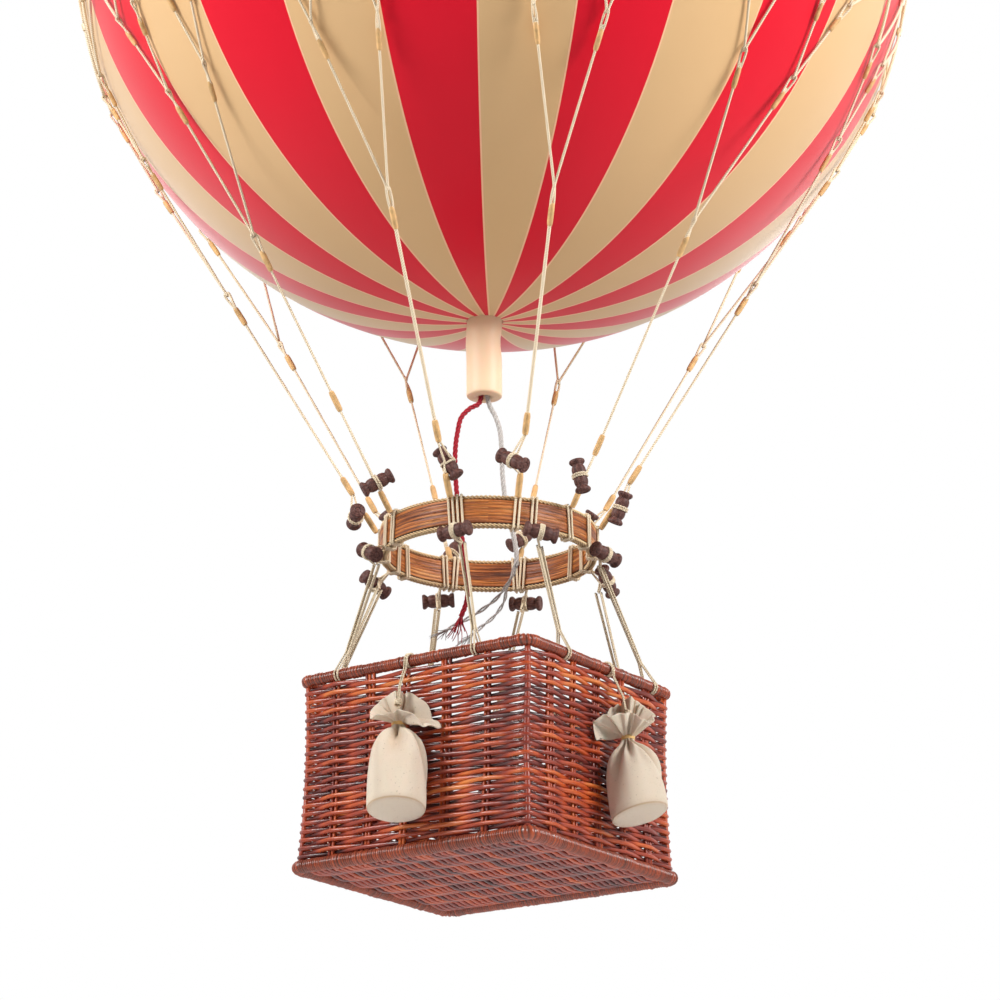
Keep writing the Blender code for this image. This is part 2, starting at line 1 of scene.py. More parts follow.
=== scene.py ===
"""Looks of a decorative gas balloon model that hangs from the loop at its crown.

Metres, in the frame's own axes: +Z up, -Y the front. An azimuth is counted in degrees from the
front towards +X. Lengths in the tables are in millimetres.
"""

import math
import random

import bpy
import numpy as np
from mathutils import Matrix, Vector


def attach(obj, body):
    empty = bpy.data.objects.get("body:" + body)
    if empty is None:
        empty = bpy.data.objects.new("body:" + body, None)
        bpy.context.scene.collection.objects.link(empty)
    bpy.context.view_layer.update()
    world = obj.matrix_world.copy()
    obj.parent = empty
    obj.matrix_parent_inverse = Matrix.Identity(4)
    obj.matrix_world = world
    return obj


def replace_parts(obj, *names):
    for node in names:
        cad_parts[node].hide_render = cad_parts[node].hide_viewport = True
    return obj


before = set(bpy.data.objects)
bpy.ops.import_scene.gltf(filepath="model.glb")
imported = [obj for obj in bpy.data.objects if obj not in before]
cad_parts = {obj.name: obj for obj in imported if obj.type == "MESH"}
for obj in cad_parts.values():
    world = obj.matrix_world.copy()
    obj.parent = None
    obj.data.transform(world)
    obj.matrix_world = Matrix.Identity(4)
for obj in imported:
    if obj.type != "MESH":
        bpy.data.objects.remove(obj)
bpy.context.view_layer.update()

MM = 0.001

# Envelope
CENTRE_Z = -0.2425
ENVELOPE_RADIUS = 0.2125
ENVELOPE_SHELL = 0.010
MOUTH_RADIUS = 0.0091
GORES = 24
GORE_START = math.radians(-2.0)
GORE_LINE = 0.00042

# Crown
CROWN_RING_RADIUS = 0.0120
CROWN_RING_CORD = 0.0025
COLLAR_HEIGHT = 0.0080
LOOP_CORD = 0.0015
LOOP_WIDTH = 0.0160

# Neck tube
NECK_X = -0.0025
NECK_RADIUS = 0.00875
NECK_BORE = 0.0032
NECK_TOP_Z = CENTRE_Z - 0.1985
NECK_BOTTOM_Z = CENTRE_Z - 0.2520

# Load ring
RING_OUTER = 0.0523
RING_WALL = 0.0040
RING_TOP_Z = CENTRE_Z - 0.3220
RING_HEIGHT = 0.0120
RING_BOTTOM_Z = RING_TOP_Z - RING_HEIGHT
RING_ROPE = 0.0009
RING_SLATS = 7

# Net and cords
CORD = 0.0007
CORD_LAY = 0.0036
LINE = 0.00064
STRAND = 0.00052
EYE_RADIUS = 0.131
EYE_Z = CENTRE_Z - 0.196
LASH_RADIUS = RING_OUTER + 0.0013
THREAD = 0.00062
WHIPPING = 0.0015
WHIPPING_LENGTH = 0.0105
EYE_LENGTH = 0.0135
EYE_HALF = 0.0013
NET_LIFT = 0.0032
MESH_LIFT = 0.0014
MESH_CORD = 0.0008
MESH_COLUMNS = 40

# Toggles
TOGGLE_LENGTH = 0.0160
TOGGLE_FLANGE = 0.0038
TOGGLE_BARREL = 0.0034
TOGGLE_GROOVE = 0.0026
TOGGLE_WAIST = 0.0032

# Basket
BASKET_TURN = math.radians(-35.7)
RIM_Z = CENTRE_Z - 0.3996
RIM_HALF = (0.06477, 0.05813)
RIM_ROLL = 0.00285
BORDER_Z = CENTRE_Z - 0.4889
BORDER_HALF = (0.06602, 0.05944)
BORDER_ROLL = 0.0033
WALL_WAIST = 0.0012
ROLL_CORNER = 0.0042
WEAVER = 0.00110
WEAVE_DEPTH = 0.0016
# Strength of the painted shade on the side of each woven rod that faces the wall's middle
ROD_PAINTED_SHADE = 0.42
STAKE = 0.00088
CORNER_POST = 0.0014
WEAVE_ROWS = 40
BASE_STICKS = 7
BASE_STICK = 0.0014

# Sandbags, in millimetres from the rim roll's middle
BAG_RADIUS = 13.4
BAG_THROAT = 2.6
LANYARD = 0.00046

# Free cords
FREE_CORD = 0.0013
FREE_LAY = 0.0078

# Azimuths of each net cord's eye and of its foot on the ring, how far up its lower whipping is, and how
# thick its lower run is
NET_CORDS = (
    (-21, -19.2, 33, 0.96),
    (13, 14.8, 36, 0.92),
    (47, 47, 33, 0.66),
    (85, 85, 33, 0.66),
    (123, 123, 34, 0.66),
    (164, 164, 57, 0.62),
    (200, 200, 55, 0.62),
    (236, 236, 32, 0.66),
    (267, 267, 29, 0.70),
    (301, 301, 60, 0.70),
)

# Azimuths of the two eyes over each net cord, and of the four over those
NET_BRANCHES = (
    ((-28.2, (-32.0, -25.0)), (-17.2, (-20.5, -13.5))),
    ((6.3, (2.0, 9.0)), (17.6, (14.0, 21.5))),
    ((42.5, (38.0, 46.0)), (55.2, (53.8, 60.2))),
    ((79.4, (73.8, 80.0)), (91.6, (89.0, 96.5))),
    ((112.0, (107.5, 115.0)), (128.5, (124.0, 132.0))),
    ((156.5, (151.0, 159.5)), (169.5, (165.5, 173.5))),
    ((190.0, (184.0, 192.5)), (206.0, (201.5, 209.5))),
    ((226.0, (221.5, 229.5)), (241.0, (237.0, 245.0))),
    ((258.5, (254.0, 262.0)), (271.0, (268.0, 275.0))),
    ((297.6, (293.6, 299.4)), (309.4, (307.0, 313.0))),
)
FIRST_EYES_Z = -127.0
SECOND_EYES_Z = -88.0

# Latitudes of the rows of knots over the eyes, in degrees
MESH_ROWS = (-14.0, -3.0, 8.0, 19.0, 30.0, 41.0, 52.0, 62.0, 71.0)

# Basket cords: azimuth on the ring, basket side, place along that side, depth of the toggle under
# the ring's top
BASKET_CORDS = (
    (-14.5, "front_left", 36, 19),
    (24.0, "front_right", -30, 19),
    (65.0, "front_right", 42, 19),
    (109.0, "back_right", 40, 20),
    (159.5, "back_right", -38, 19),
    (206.5, "back_left", 36, 19),
    (246.0, "back_left", -36, 19),
    (292.0, "front_left", -43, 19),
)

# Basket sides: name, axis of the outward normal, its sign
SIDES = (
    ("front_left", 1, -1),
    ("front_right", 0, 1),
    ("back_right", 1, 1),
    ("back_left", 0, -1),
)

# Sandbags: place along the side, place of the tie aside of that, lean of the body in degrees, depth of
# the tie and of the bottom, slant of the bottom, the heading that its tables count from, and its seed
BAGS = {
    "front_left": (-1.9, 1.6, 7.5, 32.2, 75.8, 0.0, 35.7, 31),
    "front_right": (5.2, 1.6, -2.0, 33.9, 72.0, 0.13, -54.3, 32),
    "back_right": (2.0, -0.8, -2.6, 32.0, 75.0, -0.05, 30.0, 33),
    "back_left": (-3.0, 0.9, 2.4, 32.0, 76.0, 0.06, -20.0, 34),
}

# Middle line of a hanging bag: depth under the rim, distance out from the rim roll's middle
BAG_LINE = ((0, 4.05), (16, 10.1), (32.5, 10.1), (51, 14.2), (62, 15.8), (80, 16.6))

# Places of the stakes along each wall, in mm from its middle
STAKE_PLACES = (-45, -25, -4, 19, 42)

# Routes of the free cords, from the envelope's centre
RED_ROUTE = (
    (-4.1, 0.0, -247.0),
    (-4.1, 0.0, -252.0),
    (-5.4, -1.2, -256.0),
    (-9.5, -3.0, -259.0),
    (-13.6, -4.0, -264.0),
    (-15.2, -4.6, -271.0),
    (-16.2, -5.0, -279.0),
    (-16.4, -5.0, -289.0),
    (-15.6, -4.0, -301.0),
    (-14.2, -2.6, -314.0),
    (-12.4, -1.4, -327.0),
    (-10.6, -0.6, -340.0),
    (-9.6, -1.4, -350.0),
    (-10.4, -2.4, -358.0),
    (-12.8, -3.0, -365.0),
)
WHITE_ROUTE = (
    (-0.9, 0.0, -247.0),
    (-0.9, 0.0, -252.0),
    (0.4, 0.8, -256.5),
    (3.2, 1.0, -262.0),
    (5.4, 0.6, -270.0),
    (6.2, 0.2, -280.0),
    (6.6, 0.0, -291.0),
    (7.8, -0.2, -303.0),
    (10.0, 0.0, -315.0),
    (12.8, 0.8, -326.0),
    (13.6, 1.4, -336.0),
    (11.0, 2.0, -344.0),
    (5.0, 2.6, -353.0),
    (-2.6, 3.0, -359.5),
    (-11.0, 3.2, -365.0),
    (-20.0, 3.2, -370.0),
)
WHITE_SECOND_STRAND = (
    (13.0, 1.0, -336.0),
    (11.5, 0.0, -343.0),
    (9.0, -0.8, -350.0),
    (7.6, -0.8, -357.0),
    (3.0, -0.6, -364.0),
    (-3.5, 0.0, -369.5),
    (-8.0, 0.4, -373.5),
)

# Camera of the photograph, its place from the envelope's centre in mm
CAMERA_PLACE = (5.489, -1485.09, -810.95)
CAMERA_PITCH = 0.32837
CAMERA_ROLL = 0.00611
CAMERA_LENS = 116.604
SENSOR = 36.0


def from_centre(x, y, z):
    """A point given in millimetres from the envelope's centre."""
    return Vector((x * MM, y * MM, z * MM + CENTRE_Z))


def polar(radius, azimuth, z):
    angle = math.radians(azimuth)
    return Vector((radius * math.sin(angle), -radius * math.cos(angle), z))


def on_sphere(azimuth, z_from_centre, lift):
    """The point at this azimuth and height, lifted off the envelope."""
    radius = math.sqrt((ENVELOPE_RADIUS + lift) ** 2 - z_from_centre**2)
    return polar(radius, azimuth, CENTRE_Z + z_from_centre)


def at_latitude(azimuth, latitude, lift):
    return on_sphere(azimuth, (ENVELOPE_RADIUS + lift) * math.sin(math.radians(latitude)), lift)


class Form:
    """Gathers surfaces for one mesh, each with a lengthwise map, a tone and a finish."""

    def __init__(self):
        self.points = []
        self.faces = []
        self.maps = []
        self.tones = []
        self.finishes = []
        self.size = 0
        self.finish = 0

    def grid(self, rows, along, tone=0.5, wrap=True, closed=False, caps=True, shift=None):
        """Quads over rows of points. shift turns the map round the row, in whole turns."""
        rows = np.asarray(rows, float)
        count, width = rows.shape[:2]
        numbers = np.arange(count * width).reshape(count, width) + self.size
        low = numbers if closed else numbers[:-1]
        high = np.roll(numbers, -1, axis=0) if closed else numbers[1:]
        if wrap:
            quads = np.stack([low, np.roll(low, -1, 1), np.roll(high, -1, 1), high], -1)
        else:
            quads = np.stack([low[:, :-1], low[:, 1:], high[:, 1:], high[:, :-1]], -1)
        quads = quads.reshape(-1, 4)
        across = quads.size // 4 // len(low)
        turn = np.zeros(count) if shift is None else np.asarray(shift, float)
        first = np.arange(len(low))
        second = (first + 1) % count
        u_low = np.asarray(along, float)[first]
        u_high = np.asarray(along, float)[second]
        if closed:
            u_high[-1] = u_low[-1] + (u_low[-1] - u_low[-2])
        t_high = turn[second].copy()
        if closed:
            t_high[-1] = turn[-1] + (turn[-1] - turn[-2])
        v = np.arange(across) / width
        corner = np.zeros((len(low), across, 4, 2))
        corner[:, :, 0, 0] = corner[:, :, 1, 0] = u_low[:, None]
        corner[:, :, 2, 0] = corner[:, :, 3, 0] = u_high[:, None]
        corner[:, :, 0, 1] = v[None] + turn[first][:, None]
        corner[:, :, 1, 1] = v[None] + 1 / width + turn[first][:, None]
        corner[:, :, 2, 1] = v[None] + 1 / width + t_high[:, None]
        corner[:, :, 3, 1] = v[None] + t_high[:, None]
        self.points.append(rows.reshape(-1, 3))
        self.faces.extend(quads.tolist())
        self.maps.append(corner.reshape(-1, 2))
        if caps and wrap and not closed:
            self.faces.append(numbers[0, ::-1].tolist())
            self.faces.append(numbers[-1].tolist())
            self.maps.append(np.tile((along[0], 0.5), (width, 1)))
            self.maps.append(np.tile((along[-1], 0.5), (width, 1)))
        self.tones.append(np.broadcast_to(np.asarray(tone, float), (count, width)).ravel())
        self.size += count * width
        self.finishes += [self.finish] * (len(self.faces) - len(self.finishes))

    def build(self, name, *materials):
        mesh = bpy.data.meshes.new(name)
        mesh.from_pydata(np.concatenate(self.points).tolist(), [], self.faces)
        layer = mesh.uv_layers.new(name="along")
        layer.data.foreach_set("uv", np.concatenate(self.maps).astype(np.float32).ravel())
        tone = mesh.attributes.new("tone", "FLOAT", "POINT")
        tone.data.foreach_set("value", np.concatenate(self.tones).astype(np.float32))
        for material in materials:
            mesh.materials.append(material)
        mesh.polygons.foreach_set("material_index", self.finishes)
        mesh.shade_smooth()
        made = bpy.data.objects.new(name, mesh)
        bpy.context.scene.collection.objects.link(made)
        return made


def unit(vectors):
    vectors = np.asarray(vectors, float)
    return vectors / np.maximum(np.linalg.norm(vectors, axis=-1, keepdims=True), 1e-12)


def lengths(line):
    """Distance along a line at each of its points."""
    steps = np.linalg.norm(np.diff(line, axis=0), axis=1)
    return np.concatenate(([0.0], np.cumsum(steps)))


def carried(line, closed=False):
    """Unit directions ahead, to the side and up along a line, carried along it without twist."""
    before = np.roll(line, 1, axis=0)
    after = np.roll(line, -1, axis=0)
    if not closed:
        before[0] = line[0]
        after[-1] = line[-1]
    ahead = unit(after - before)
    across = np.cross(ahead[0], (0.0, 0.0, 1.0))
    if np.linalg.norm(across) < 0.2:
        across = np.cross(ahead[0], (1.0, 0.0, 0.0))
    side = [unit(across)]
    for direction in ahead[1:]:
        side.append(unit(side[-1] - direction * side[-1].dot(direction)))
    side = np.array(side)
    up = np.cross(ahead, side)
    if closed:
        end = unit(side[-1] - ahead[0] * side[-1].dot(ahead[0]))
        left = math.atan2(end.dot(up[0]), end.dot(side[0]))
        turn = -left * np.arange(len(line)) / len(line)
        cos = np.cos(turn)[:, None]
        sin = np.sin(turn)[:, None]
        side, up = side * cos + up * sin, up * cos - side * sin
    return ahead, side, up


def smooth_line(points, step, closed=False):
    """Evenly spaced points on a smooth curve through the given points."""
    points = np.asarray([tuple(point) for point in points], float)
    if closed:
        ends = np.concatenate((points[-1:], points, points[:2]))
    else:
        first = 2 * points[:1] - points[1:2]
        last = 2 * points[-1:] - points[-2:-1]
        ends = np.concatenate((first, points, last))
    a, b, c, d = (ends[index : len(ends) - 3 + index, None] for index in range(4))
    t = (np.arange(10) / 10)[None, :, None]
    curve = 2 * b + (c - a) * t + (2 * a - 5 * b + 4 * c - d) * t**2 + (3 * b - a - 3 * c + d) * t**3
    fine = np.concatenate((curve.reshape(-1, 3) / 2, points[:1] if closed else points[-1:]))
    along = lengths(fine)
    count = max(2, round(along[-1] / step))
    at = np.linspace(0, along[-1], count + 1)
    if closed:
        at = at[:-1]
    return np.stack([np.interp(at, along, fine[:, axis]) for axis in range(3)], axis=1)


def stretched(points, most):
    """The points with more between those that lie far apart, so that straight runs stay straight."""
    line = [Vector(points[0])]
    for before, after in zip(points, points[1:]):
        count = max(1, math.ceil((Vector(after) - Vector(before)).length / most))
        for step in range(1, count + 1):
            line.append(Vector(before).lerp(Vector(after), step / count))
    return line


def tube(form, line, radius, sides=8, tone=0.5, closed=False, lobes=0, lay=CORD_LAY, depth=0.28, shade=None):
    """A round tube, or with lobes a twisted one, along a line. shade points to the side that its tone darkens with
    painted shade.
    """
    line = np.asarray(line, float)
    ahead, side, up = carried(line, closed)
    along = lengths(line)
    whole = along[-1] + (np.linalg.norm(line[0] - line[-1]) if closed else 0.0)
    turns = along / lay
    if closed and lobes:
        turns = along / whole * round(whole / lay)
    around = np.arange(sides) / sides
    angle = 2 * math.pi * (around[None, :] + (turns[:, None] if lobes else 0.0))
    reach = np.ones(sides)
    if lobes:
        reach -= depth * (1 - np.cos(2 * math.pi * around * lobes)) / 2
    size = np.broadcast_to(np.asarray(radius, float), (len(line),))[:, None] * reach[None, :]
    ring = np.cos(angle)[..., None] * side[:, None] + np.sin(angle)[..., None] * up[:, None]
    rows = line[:, None] + ring * size[..., None]
    # Painted shade: the tone drops on the side that shade points to
    if shade is not None:
        tone = tone - np.maximum(np.einsum("ijk,ik->ij", ring, shade), 0.0)
    form.grid(rows, along, tone, closed=closed, shift=None if lobes else turns)


def cord_run(form, points, radius, step=0.00062, tone=0.5, closed=False, corner=0.003, depth=0.18):
    """A twisted cord through points, straight between those that lie far apart."""
    if closed:
        points = list(points) + [points[0]]
    line = stretched(points, corner)
    if closed:
        line = line[:-1]
    line = smooth_line(line, step, closed)
    tube(form, line, radius, 6, tone, closed, lobes=3, depth=depth)


def laid_rope(form, line, radius, strands=3, lay=FREE_LAY, sides=8, tone=0.5, hold=None):
    """A rope of round strands laid round each other. hold, from 0 to 1 along it, opens the lay."""
    line = np.asarray(line, float)
    ahead, side, up = carried(line)
    along = lengths(line)
    strand = radius * 0.50
    reach = np.full(len(line), radius - strand)
    if hold is not None:
        reach = reach * np.interp(along / along[-1], *hold)
    for number in range(strands):
        angle = 2 * math.pi * (along / lay + number / strands)
        offset = np.cos(angle)[:, None] * side + np.sin(angle)[:, None] * up
        tube(form, line + offset * reach[:, None], strand, sides, tone, lay=lay / 3)


def whipping(form, middle, direction, length=WHIPPING_LENGTH, radius=WHIPPING, tone=0.5):
    """Turns of thread wound tight round a cord, drawn in at both ends."""
    direction = Vector(direction).normalized()
    count = 2 * round(length / THREAD) + 1
    places = np.linspace(-0.5, 0.5, count)
    swell = 1 - 0.24 * np.abs(2 * places) ** 5
    ridge = np.where(np.arange(count) % 2 == 1, 1.0, 0.86)
    line = np.array([tuple(Vector(middle) + direction * length * place) for place in places])
    tube(form, line, radius * swell * ridge, 12, tone, lay=1.0)


def stroke(middle, start, along, axis, degrees, steps):
    """Points on a circle about middle, from middle plus start, turning about axis."""
    points = []
    for step in range(steps + 1):
        turn = Matrix.Rotation(math.radians(degrees * step / steps), 3, axis)
        points.append(middle + along + turn @ start)
    return points


def eye_points(foot, tip, side, out, half):
    """A cord's own end turned back as an eye: up from the whipping, over the cord in it, and down."""
    rise = tip - foot
    ahead = rise.normalized()
    points = []
    for share in (0.0, 0.35, 0.7, 1.0):
        angle = math.radians(75 * share)
        width = half * (0.5 + 0.5 * share)
        offset = (side * math.cos(angle) + out * math.sin(angle)) * width
        points.append((foot + rise * share, offset))
    _, last = points[-1]
    axis = last.cross(ahead).normalized()
    over = []
    for degrees in (45, 90, 135):
        over.append(tip + Matrix.Rotation(math.radians(degrees), 3, axis) @ last)
    path = [place + offset for place, offset in points] + over
    return path + [place - offset for place, offset in reversed(points)]


class Graph:
    """Adds nodes to a tree. An input is given as its value, or as the socket that feeds it."""

    def __init__(self, tree):
        self.tree = tree

    def add(self, kind, inputs=None, **settings):
        made = self.tree.nodes.new("ShaderNode" + kind)
        for name, value in settings.items():
            setattr(made, name, value)
        for name, value in (inputs or {}).items():
            self.feed(made.inputs[name], value)
        return made

    def feed(self, socket, value):
        if isinstance(value, bpy.types.NodeSocket):
            self.tree.links.new(value, socket)
        else:
            socket.default_value = value

    def maths(self, operation, *values):
        made = self.add("Math", operation=operation)
        for socket, value in zip(made.inputs, values):
            self.feed(socket, value)
        return made.outputs[0]

    def mix(self, share, first, second, blend="MIX"):
        made = self.add("Mix", data_type="RGBA", blend_type=blend)
        for index, value in ((0, share), (6, first), (7, second)):
            self.feed(made.inputs[index], value)
        return made.outputs[2]

    def ramp(self, share, stops):
        made = self.add("ValToRGB", {"Fac": share})
        places = made.color_ramp.elements
        for index, (place, colour) in enumerate(stops):
            element = places[index] if index < 2 else places.new(place)
            element.position = place
            element.color = (*colour, 1.0)
        return made.outputs[0]

    def between(self, value, low, high, new_low, new_high):
        names = ("From Min", "From Max", "To Min", "To Max")
        made = self.add("MapRange", dict(zip(names, (low, high, new_low, new_high))))
        self.feed(made.inputs["Value"], value)
        return made.outputs[0]

    def noise(self, vector, scale, detail=4.0, roughness=0.55):
        values = {"Vector": vector, "Scale": scale, "Detail": detail, "Roughness": roughness}
        return self.add("TexNoise", values).outputs[0]

    def place(self):
        return self.add("TexCoord").outputs["Object"]

    def spread(self, vector, scales):
        """The vector with each axis scaled."""
        made = self.add("Mapping", {"Vector": vector, "Scale": scales})
        return made.outputs[0]


def rgb(red, green, blue):
    """A linear colour from screen values of 0 to 255."""
    linear = []
    for value in (red, green, blue):
        share = value / 255
        linear.append(share / 12.92 if share <= 0.04045 else ((share + 0.055) / 1.055) ** 2.4)
    return tuple(linear)


def group(name, inputs, outputs):
    """A new shader node group with these sockets: (name, kind) and, for inputs, a value."""
    tree = bpy.data.node_groups.new(name, "ShaderNodeTree")
    for label, kind, value in inputs:
        socket = tree.interface.new_socket(label, in_out="INPUT", socket_type="NodeSocket" + kind)
        socket.default_value = value
    for label, kind in outputs:
        tree.interface.new_socket(label, in_out="OUTPUT", socket_type="NodeSocket" + kind)
    graph = Graph(tree)
    start = tree.nodes.new("NodeGroupInput")
    end = tree.nodes.new("NodeGroupOutput")
    return tree, graph, start.outputs, end.inputs


def lay_group():
    """Strands of a twisted cord: painted shade between them, fibres along them."""
    inputs = (("Light", "Color", (1, 1, 1, 1)), ("Dark", "Color", (0, 0, 0, 1)))
    inputs += (("Strands", "Float", 3.0), ("Spread", "Float", 0.12))
    tree, graph, start, end = group("cord_lay", inputs, (("Colour", "Color"), ("Height", "Float")))
    map_node = graph.add("UVMap", uv_map="along")
    parts = graph.add("SeparateXYZ", {"Vector": map_node.outputs[0]})
    turn = graph.maths("MULTIPLY", parts.outputs[1], start["Strands"])
    wave = graph.maths("COSINE", graph.maths("MULTIPLY", turn, 2 * math.pi))
    height = graph.between(wave, -1.0, 1.0, 0.0, 1.0)
    place = graph.place()
    fibre = graph.noise(place, 2600.0, 3.0)
    patch = graph.noise(place, 90.0, 3.0)
    tone = graph.maths("MULTIPLY", graph.maths("SUBTRACT", patch, 0.5), start["Spread"])
    share = graph.maths("POWER", height, 0.55)
    share = graph.maths("ADD", share, graph.maths("MULTIPLY", graph.maths("SUBTRACT", fibre, 0.5), 0.5))
    # Painted shade: the colour runs from Light on the strands' crowns to Dark between them
    colour = graph.mix(graph.maths("ADD", share, tone), start["Dark"], start["Light"])
    graph.feed(end["Colour"], colour)
    total = graph.maths("ADD", height, graph.maths("MULTIPLY", fibre, 0.35))
    graph.feed(end["Height"], total)
    return tree


def rod_group():
    """Willow rods: each its own tone from purple brown to orange, streaked along its length."""
    inputs = (("Streak", "Float", 0.6), ("Blotch", "Float", 0.5), ("Dark", "Float", 0.04))
    outputs = (("Colour", "Color"), ("Height", "Float"), ("Roughness", "Float"))
    tree, graph, start, end = group("willow_rod", inputs, outputs)
    map_node = graph.add("UVMap", uv_map="along")
    tone = graph.add("Attribute", attribute_name="tone", attribute_type="GEOMETRY").outputs["Fac"]
    streak = graph.noise(graph.spread(map_node.outputs[0], (60.0, 2.6, 1.0)), 1.0, 5.0, 0.6)
    blotch = graph.noise(graph.place(), 55.0, 2.0)
    shift = graph.maths("MULTIPLY", graph.maths("SUBTRACT", streak, 0.5), start["Streak"])
    patch = graph.maths("MULTIPLY", graph.maths("SUBTRACT", blotch, 0.5), start["Blotch"])
    shift = graph.maths("ADD", shift, patch)
    share = graph.maths("SUBTRACT", graph.maths("ADD", tone, shift), start["Dark"])
    stops = (
        (0.0, rgb(62, 22, 26)),
        (0.25, rgb(112, 40, 34)),
        (0.5, rgb(160, 56, 30)),
        (0.75, rgb(196, 84, 32)),
        (1.0, rgb(222, 132, 62)),
    )
    graph.feed(end["Colour"], graph.ramp(share, stops))
    graph.feed(end["Height"], streak)
    graph.feed(end["Roughness"], graph.between(streak, 0.3, 0.7, 0.26, 0.44))
    return tree


def grain_group():
    """Fine uneven grain: a height and a tone, by place on the piece."""
    inputs = (("Scale", "Float", 400.0), ("Coarse", "Float", 30.0))
    tree, graph, start, end = group("fine_grain", inputs, (("Height", "Float"), ("Tone", "Float")))
    place = graph.place()
    graph.feed(end["Height"], graph.noise(place, start["Scale"], 3.0))
    graph.feed(end["Tone"], graph.noise(place, start["Coarse"], 4.0))
    return tree


def gore_group():
    """Gores of the envelope: which are red, and the thin line where two meet."""
    tree, graph, start, end = group("gores", (), (("Red", "Float"), ("Line", "Float")))
    parts = graph.add("SeparateXYZ", {"Vector": graph.place()}).outputs
    front = graph.maths("MULTIPLY", parts[1], -1.0)
    azimuth = graph.maths("SUBTRACT", graph.maths("ARCTAN2", parts[0], front), GORE_START)
    place = graph.maths("MULTIPLY", azimuth, GORES / (2 * math.pi))
    number = graph.maths("FLOORED_MODULO", graph.maths("FLOOR", place), 2.0)
    share = graph.maths("FRACT", place)
    near = graph.maths("MINIMUM", share, graph.maths("SUBTRACT", 1.0, share))
    across = graph.maths("SQRT", graph.maths("ADD", graph.maths("POWER", parts[0], 2.0), graph.maths("POWER", parts[1], 2.0)))
    gap = graph.maths("MULTIPLY", graph.maths("MULTIPLY", near, across), 2 * math.pi / GORES)
    graph.feed(end["Red"], graph.maths("GREATER_THAN", number, 0.5))
    graph.feed(end["Line"], graph.between(gap, GORE_LINE * 0.8, GORE_LINE * 1.2, 1.0, 0.0))
    return tree


def material(name, shared, values):
    """A new material with this node group, if any, in it, and these values on its shader."""
    made = bpy.data.materials.new(name)
    made.use_nodes = True
    graph = Graph(made.node_tree)
    shader = made.node_tree.nodes["Principled BSDF"]
    for label, value in values.items():
        shader.inputs[label].default_value = value
    effect = None
    if shared:
        effect = graph.add("Group")
        effect.node_tree = bpy.data.node_groups[shared]
    return made, graph, shader, effect


def bump(graph, shader, height, distance, strength=1.0):
    values = {"Height": height, "Distance": distance, "Strength": strength}
    graph.feed(shader.inputs["Normal"], graph.add("Bump", values).outputs[0])


def cord_material(name, light, dark, strands=3.0, roughness=0.85, spread=0.12, distance=0.00025):
    values = {"Roughness": roughness, "Sheen Weight": 0.25, "Specular IOR Level": 0.25}
    made, graph, shader, effect = material(name, "cord_lay", values)
    # dark is the painted shade between the strands, light the cord's own colour
    for label, value in (("Light", (*light, 1)), ("Dark", (*dark, 1)), ("Strands", strands), ("Spread", spread)):
        effect.inputs[label].default_value = value
    graph.feed(shader.inputs["Base Color"], effect.outputs["Colour"])
    bump(graph, shader, effect.outputs["Height"], distance, 0.7)
    return made


def thread_material(name, colour):
    values = {"Roughness": 0.7, "Sheen Weight": 0.15, "Specular IOR Level": 0.35}
    made, graph, shader, effect = material(name, "fine_grain", values)
    effect.inputs["Scale"].default_value = 1500.0
    effect.inputs["Coarse"].default_value = 260.0
    dark = tuple(value * 0.62 for value in colour)
    tone = graph.between(effect.outputs["Tone"], 0.3, 0.62, 0.0, 1.0)
    graph.feed(shader.inputs["Base Color"], graph.mix(tone, (*dark, 1), (*colour, 1)))
    bump(graph, shader, effect.outputs["Height"], 0.0002, 0.6)
    return made


def paint_material():
    values = {"Roughness": 0.42, "Specular IOR Level": 0.14, "Sheen Weight": 0.45, "Sheen Roughness": 0.4}
    made, graph, shader, effect = material("envelope_paint", "gores", values)
    grain = graph.add("Group")
    grain.node_tree = bpy.data.node_groups["fine_grain"]
    grain.inputs["Scale"].default_value = 700.0
    grain.inputs["Coarse"].default_value = 9.0
    tone = grain.outputs["Tone"]
    red = graph.mix(tone, (*rgb(212, 6, 34), 1), (*rgb(226, 10, 42), 1))
    cream = graph.mix(tone, (*rgb(212, 172, 122), 1), (*rgb(221, 182, 134), 1))
    colour = graph.mix(effect.outputs["Red"], cream, red)
    colour = graph.mix(effect.outputs["Line"], colour, (*rgb(242, 190, 150), 1))
    graph.feed(shader.inputs["Base Color"], colour)
    line = graph.maths("MULTIPLY", effect.outputs["Line"], 0.6)
    height = graph.maths("ADD", graph.maths("MULTIPLY", grain.outputs["Height"], 0.12), line)
    bump(graph, shader, height, 0.0002, 0.5)
    return made


def plastic_material():
    values = {"Roughness": 0.5, "Subsurface Weight": 0.2, "Subsurface Scale": 0.003}
    made, graph, shader, effect = material("neck_plastic", "fine_grain", values)
    effect.inputs["Scale"].default_value = 500.0
    effect.inputs["Coarse"].default_value = 40.0
    tone = effect.outputs["Tone"]
    graph.feed(shader.inputs["Base Color"], graph.mix(tone, (*rgb(238, 204, 168), 1), (*rgb(242, 210, 176), 1)))
    bump(graph, shader, effect.outputs["Height"], 0.0001, 0.25)
    return made


